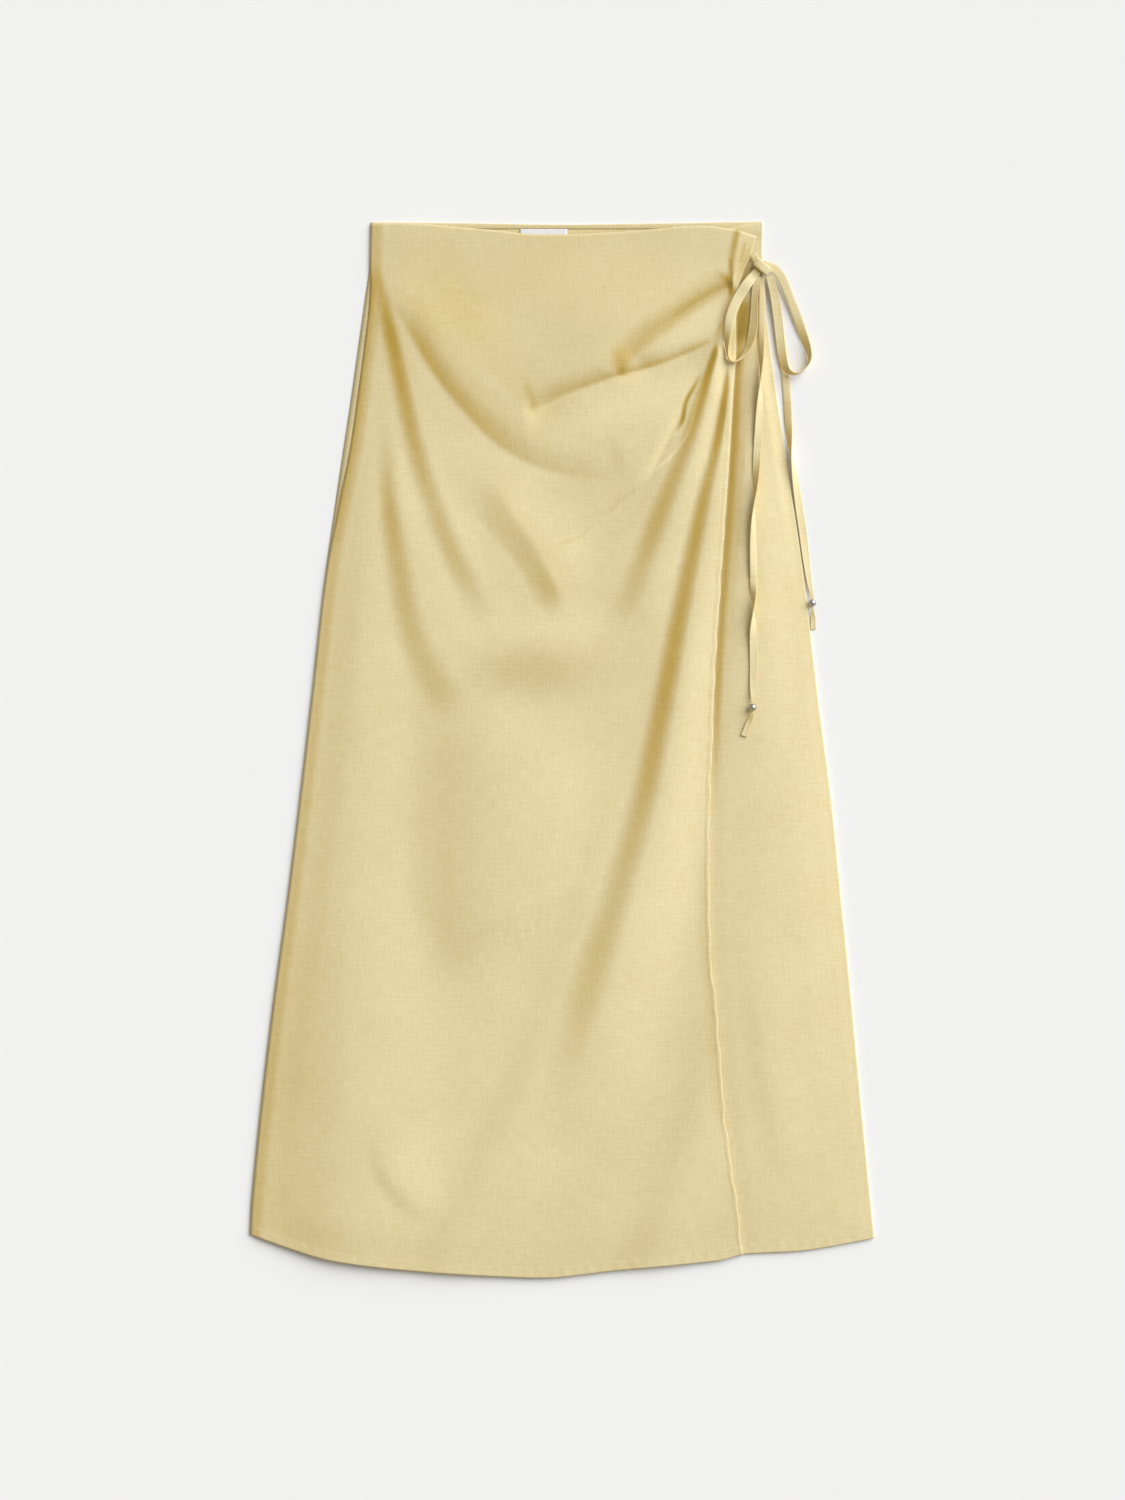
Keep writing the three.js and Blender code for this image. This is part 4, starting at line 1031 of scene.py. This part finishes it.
TIE_TAIL_LEFT = [
    (179.4, 49.6, 0.2, 0, 5), (180, 70, 0, 0, 5.8), (179.6, 92, 0, 8, 6), (179.1, 115, 0, 36, 6.4),
    (178.6, 137, 0, 82, 6.6), (177.3, 167, 0, 148, 6.8), (175.8, 196, 0, 172, 7), (174.6, 219, 0, 200, 7),
    (173.5, 241, 0, 244, 6.8), (171.8, 265, 0, 296, 6.8), (171.5, 291, 0, 334, 6.8),
    (171.9, 318, 0, 352, 6.8), (171.9, 343, 0, 430, 6.8), (171.6, 369, 0, 515, 7),
    (172, 394, 0, 538, 7), (171.3, 418, 0.6, 540, 5.4),
    (171, 431, IN_BEAD, 540, 2.4), (171, 437, IN_BEAD, 540, 2.4), (171, 443, IN_BEAD, 540, 2.4),
    (167.6, 451, 0.8, 540, 4.6), (163.4, 463, 0, 540, 6),
]
TIE_TAIL_RIGHT = [
    (185, 49, 4, 0, 5), (188.6, 58, 2.4, 0, 7), (193.2, 78, 0.8, 0, 7.6), (196.4, 101, 0, 0, 7.6),
    (199.4, 124, 0, 0, 7.4), (201.6, 144, 0, 2, 7.2), (202.8, 162, 0, 14, 7.2), (203.8, 183, 0, 26, 7.2),
    (205.6, 208, 0, 84, 7.2), (209.4, 230, 0, 140, 7.2), (213, 255, 0, 164, 7.2), (217, 282, 0, 170, 7.2),
    (219.6, 304, 0, 164, 6.4), (222.6, 325, 0.6, 170, 4.6), (225, 337, IN_BEAD, 180, 2.4),
    (225, 343, IN_BEAD, 180, 2.4), (225, 349, IN_BEAD, 180, 2.4),
    (225.8, 356, 0.8, 180, 4), (226, 367, 0, 180, 5),
]

# %% Carry a strip along its route
TIE_GRID = 12  # faces across a tie
PUFF = 0.22  # how far its middle domes, as a share of its thickness


def tie_frames(rows, count):
    """Centre line, side direction, face direction and half width of a tie, step by step, in mm."""
    place, ahead = through(rows, count)
    x, down, lift, roll, width = place.T
    run = ahead[:, :2] / np.linalg.norm(ahead[:, :2], axis=1)[:, None]
    level = np.stack([run[:, 1], run[:, 0]], axis=1)  # across the tie, as (x, +Y) in plan
    turn = np.radians(roll)
    aside = width / 2 * np.abs(np.cos(turn))
    below = [
        ground_under_tie(x + k * aside * level[:, 0], down - k * aside * level[:, 1]) for k in (-1, 0, 1)
    ]
    ground = np.max(below, axis=0)
    # a tie is stiffer than what it lies on: it rests on the high places and passes evenly over the low
    near = max(count // len(rows), 2)
    highest = [ground[max(i - near, 0) : i + near + 1].max() for i in range(count)]
    even = np.hanning(2 * near + 3)[1:-1]
    soft = np.convolve(np.pad(highest, near, mode="edge"), even / even.sum(), mode="valid")
    tall = (width * np.abs(np.sin(turn)) + TIE * np.abs(np.cos(turn))) / 2
    centre = np.stack([x, WAIST_Y - down, soft + SEAM_GAP + tall + lift], axis=1)
    side = np.stack([level[:, 0] * np.cos(turn), level[:, 1] * np.cos(turn), np.sin(turn)], axis=1)
    forward = np.gradient(centre, axis=0)
    forward /= np.linalg.norm(forward, axis=1)[:, None]
    side -= forward * np.sum(side * forward, axis=1)[:, None]
    side /= np.linalg.norm(side, axis=1)[:, None]
    return centre, side, np.cross(forward, side), width / 2


def tie_piece(name, rows, steps, replaced):
    """A strip of linen, slightly domed across and rounded at its two folded edges."""
    frames = tie_frames(rows, steps + 1)
    bm = bmesh.new()
    cut = bm.loops.layers.uv.new("cut")
    bmesh.ops.create_grid(bm, x_segments=TIE_GRID, y_segments=steps, size=0.5)
    bm.verts.ensure_lookup_table()
    lengths = np.concatenate([[0], np.cumsum(np.linalg.norm(np.diff(frames[0], axis=0), axis=1))])
    flat_place = {}
    for vert in bm.verts:
        i = round((0.5 - vert.co.y) * steps)
        share = vert.co.x * 2
        centre, side, outward, half = (values[i] for values in frames)
        up = TIE * (PUFF * (1 - share**4) - 0.1)
        vert.co = Vector(centre + side * half * share + outward * up) * MM
        flat_place[vert] = (half * share * MM, lengths[i] * MM)
    for face in bm.faces:
        for loop in face.loops:
            loop[cut].uv = flat_place[loop.vert]
    piece = finish_piece(name, bm, tie_linen, replaced)
    # painted golden shade where the tie turns away from the lamp, at 0.4 of its full strength
    paint_fold_shade(piece, np.zeros(len(piece.data.vertices)), 0.4)
    thick = piece.modifiers.new("sewn_double", "SOLIDIFY")
    thick.thickness = 0.7 * TIE * MM
    thick.offset = 0
    rounded = piece.modifiers.new("soft_edges", "SUBSURF")
    rounded.levels = rounded.render_levels = 1
    print(name, "is", round(lengths[-1]), "mm long")
    return piece, lengths[-1] * MM, float(np.mean(frames[3]) * 2 * MM)


ties = [
    tie_piece("tie_strap_cloth", TIE_STRAP, 16, ["tie_strap"]),
    tie_piece("bow_loop_left_cloth", BOW_LOOP_LEFT, 150, ["bow_loop_left"]),
    tie_piece("bow_loop_right_cloth", BOW_LOOP_RIGHT, 150, ["bow_loop_right"]),
    tie_piece("tie_tail_left_cloth", TIE_TAIL_LEFT, 260, ["tie_tail_left"]),
    tie_piece("tie_tail_right_cloth", TIE_TAIL_RIGHT, 220, ["tie_tail_right"]),
]

# %% [markdown]
# ## The knot
#
# The knot is one tie wound once round the other. What is inside hardly shows, so it is a rounded core,
# and the turn over it is a band spun round the core and then turned to the slant it has.

# %% Knot
KNOT = {"x": 179.6, "down": 41.4, "across": 6.4, "along": 6.8, "high": 4.2}
# painted shade on the knot, deeper than its slope alone makes it
KNOT_PAINTED_SHADE = -0.3  # little light gets in between the turns
knot_up = resting_height(KNOT["x"], KNOT["down"]) + KNOT["high"]
knot_centre = Vector((KNOT["x"], WAIST_Y - KNOT["down"], knot_up)) * MM

bm = bmesh.new()
cut = bm.loops.layers.uv.new("cut")
bmesh.ops.create_uvsphere(bm, u_segments=48, v_segments=32, radius=MM)
core = Vector((0.95 * KNOT["across"], 0.85 * KNOT["along"], 0.85 * KNOT["high"]))
bmesh.ops.scale(bm, vec=core, verts=bm.verts)
bmesh.ops.translate(bm, vec=knot_centre, verts=bm.verts)
cut_in_plan(bm, cut)
knot = finish_piece("bow_knot_cloth", bm, tie_linen, ["bow_knot"])
paint_fold_shade(knot, np.full(len(knot.data.vertices), KNOT_PAINTED_SHADE))
print("knot core is", tuple(round(2 * length, 1) for length in core), "mm")

# %% The turn over the knot
TURN_WIDE = 8.4
TURN_LONG = 8.4
TURN_SLANT = math.radians(50)

bm = bmesh.new()
cut = bm.loops.layers.uv.new("cut")
section = []
# the band's outside rounds off towards its edges, and its inside is straight
for share in np.linspace(-1, 1, 11):
    section.append(bm.verts.new((share * TURN_WIDE / 2, 1.0 - 0.12 * share**4, 0)))
for share in (1, -1):
    section.append(bm.verts.new((share * TURN_WIDE / 2.2, 0.8, 0)))
rim = [bm.edges.new((a, b)) for a, b in zip(section, section[1:] + section[:1])]
bmesh.ops.spin(
    bm, geom=section + rim, cent=(0, 0, 0), axis=(1, 0, 0), angle=math.tau, steps=48, use_merge=True,
)
bmesh.ops.remove_doubles(bm, verts=bm.verts, dist=0.001)
bmesh.ops.recalc_face_normals(bm, faces=bm.faces)
bmesh.ops.scale(bm, vec=Vector((1, TURN_LONG, KNOT["high"])) * MM, verts=bm.verts)
bmesh.ops.rotate(bm, cent=(0, 0, 0), matrix=Matrix.Rotation(TURN_SLANT, 3, "Z"), verts=bm.verts)
bmesh.ops.translate(bm, vec=knot_centre, verts=bm.verts)
cut_in_plan(bm, cut)
turn = finish_piece("knot_turn", bm, tie_linen)
# painted golden shade on the turn, at half strength
paint_fold_shade(turn, np.zeros(len(turn.data.vertices)), 0.5)
print("the turn over it is", TURN_WIDE, "mm wide")

# %% [markdown]
# ## The beads
#
# A bead is turned from a short profile: the outside of a ball down to a hole, and the wall of the hole.

# %% Beads
HOLE_RADIUS = 1.8
HOLE_NARROWS = 0.86  # the hole inside, as a share of its mouth
RIM_THICK = 0.9  # where it is at its narrowest, as a share of the way out to its mouth


def bead(name, x, down, replaced):
    """A ball with a hole along the tie, spun from half its section."""
    centre = Vector((x, WAIST_Y - down, resting_height(x, down) + BEAD_RADIUS)) * MM
    cap = math.acos(HOLE_RADIUS / BEAD_RADIUS)
    bm = bmesh.new()
    angles = np.linspace(-cap, cap, 17)
    section = [Vector((BEAD_RADIUS * math.cos(a), BEAD_RADIUS * math.sin(a), 0)) * MM for a in angles]
    verts = [bm.verts.new(point) for point in section]
    for rim in (section[-1], section[0]):
        verts.append(bm.verts.new((rim.x * HOLE_NARROWS, rim.y * RIM_THICK, 0)))
    edges = [bm.edges.new((a, b)) for a, b in zip(verts, verts[1:] + verts[:1])]
    bmesh.ops.spin(
        bm, geom=verts + edges, cent=(0, 0, 0), axis=(0, 1, 0), angle=math.tau, steps=40, use_merge=True,
    )
    bmesh.ops.remove_doubles(bm, verts=bm.verts, dist=0.001 * MM)
    bmesh.ops.recalc_face_normals(bm, faces=bm.faces)
    bmesh.ops.translate(bm, verts=bm.verts, vec=centre)
    return finish_piece(name, bm, nickel, replaced)


for name, x, down, solid in (
    ("bead_left_metal", 171, 437, "bead_left"),
    ("bead_right_metal", 225, 343, "bead_right"),
):
    print(bead(name, x, down, [solid]).name, "is", 2 * BEAD_RADIUS, "mm across")

# %% [markdown]
# ## Stitches
#
# The hems, the free edge and the gathered end are topstitched with a lockstitch about 3 mm long, and
# the raw edge of the facing is overlocked with a zigzag. Each stitch is a small bar of thread with
# rounded ends, half sunk in the cloth. A stitch texture would be lighter, but real bars catch the light.

# %% Sew along lines
STITCH = 2.5
STITCH_GAP = 0.8
THREAD_THICK = 0.42


def sew(name, rows, above):
    """Stitches along rows of (x, down) places, one bar from each place walked to the next."""
    bm = bmesh.new()
    for row, long, gap in rows:
        row = np.array(row, float)
        walked = np.concatenate([[0], np.cumsum(np.hypot(*np.diff(row, axis=0).T))])
        starts = np.arange(gap, walked[-1] - long, long + gap)
        ends = []
        for at in (starts, starts + long):
            x, down = np.interp(at, walked, row[:, 0]), np.interp(at, walked, row[:, 1])
            ends.append(np.stack([x, WAIST_Y - down, above(x, down)], axis=1) * MM)
        for a, b in zip(*ends):
            run = Vector(b - a)
            size = Matrix.Diagonal((run.length / 2, THREAD_THICK / 2 * MM, THREAD_THICK / 2 * MM, 1))
            heading = run.to_track_quat("X", "Z").to_matrix().to_4x4()
            lying = Matrix.Translation(Vector((a + b) / 2)) @ heading
            bmesh.ops.create_icosphere(bm, subdivisions=1, radius=1, matrix=lying @ size)
    piece = finish_piece(name, bm, thread)
    print(name, "has", len(piece.data.polygons) // 20, "stitches")


def beside(table, column, inward, from_down, to_down):
    """A line that keeps its distance from an edge that runs down the skirt."""
    down = np.linspace(from_down, to_down, 200)
    return np.stack([read(table, "down", column, down) - inward, down], axis=1)


x = np.linspace(-276, 159, 160)
wrap_rows = [(np.stack([x, read(HEM, "x", "down", x) - HEM_TURN], axis=1), STITCH, STITCH_GAP)]
wrap_rows.append((beside(WRAP_EDGE, "x", 3.8, 150, 920), STITCH, STITCH_GAP))
wrap_rows += [(beside(WRAP_EDGE, "x", inward, 15, 70), 2, 0.7) for inward in (4.5, 8.5)]
sew("wrap_stitches", wrap_rows, wrap_face)
x = np.linspace(166, 278, 60)
sew("under_stitches", [(np.stack([x, under_hem(x) - HEM_TURN], axis=1), STITCH, STITCH_GAP)], under_face)
x = np.arange(-156, 171, 1.3)
to_and_fro = np.where(np.arange(len(x)) % 2, 2.6, 5.8)
zigzag = np.stack([x, to_and_fro + read(BACK_WAIST, "x", "down", x) * 0.2], axis=1)
sew("overlock_stitches", [(zigzag, 2.2, 0.35)], facing_face)

# %% [markdown]
#
# The cloth pieces and the ties are counted. The ties are narrower than the smallest sheet that can
# be declared, so each gets a box 10 mm wide and the area of its own width.

# %% Count the pieces
print("sheets declared:", 5 + len(ties))
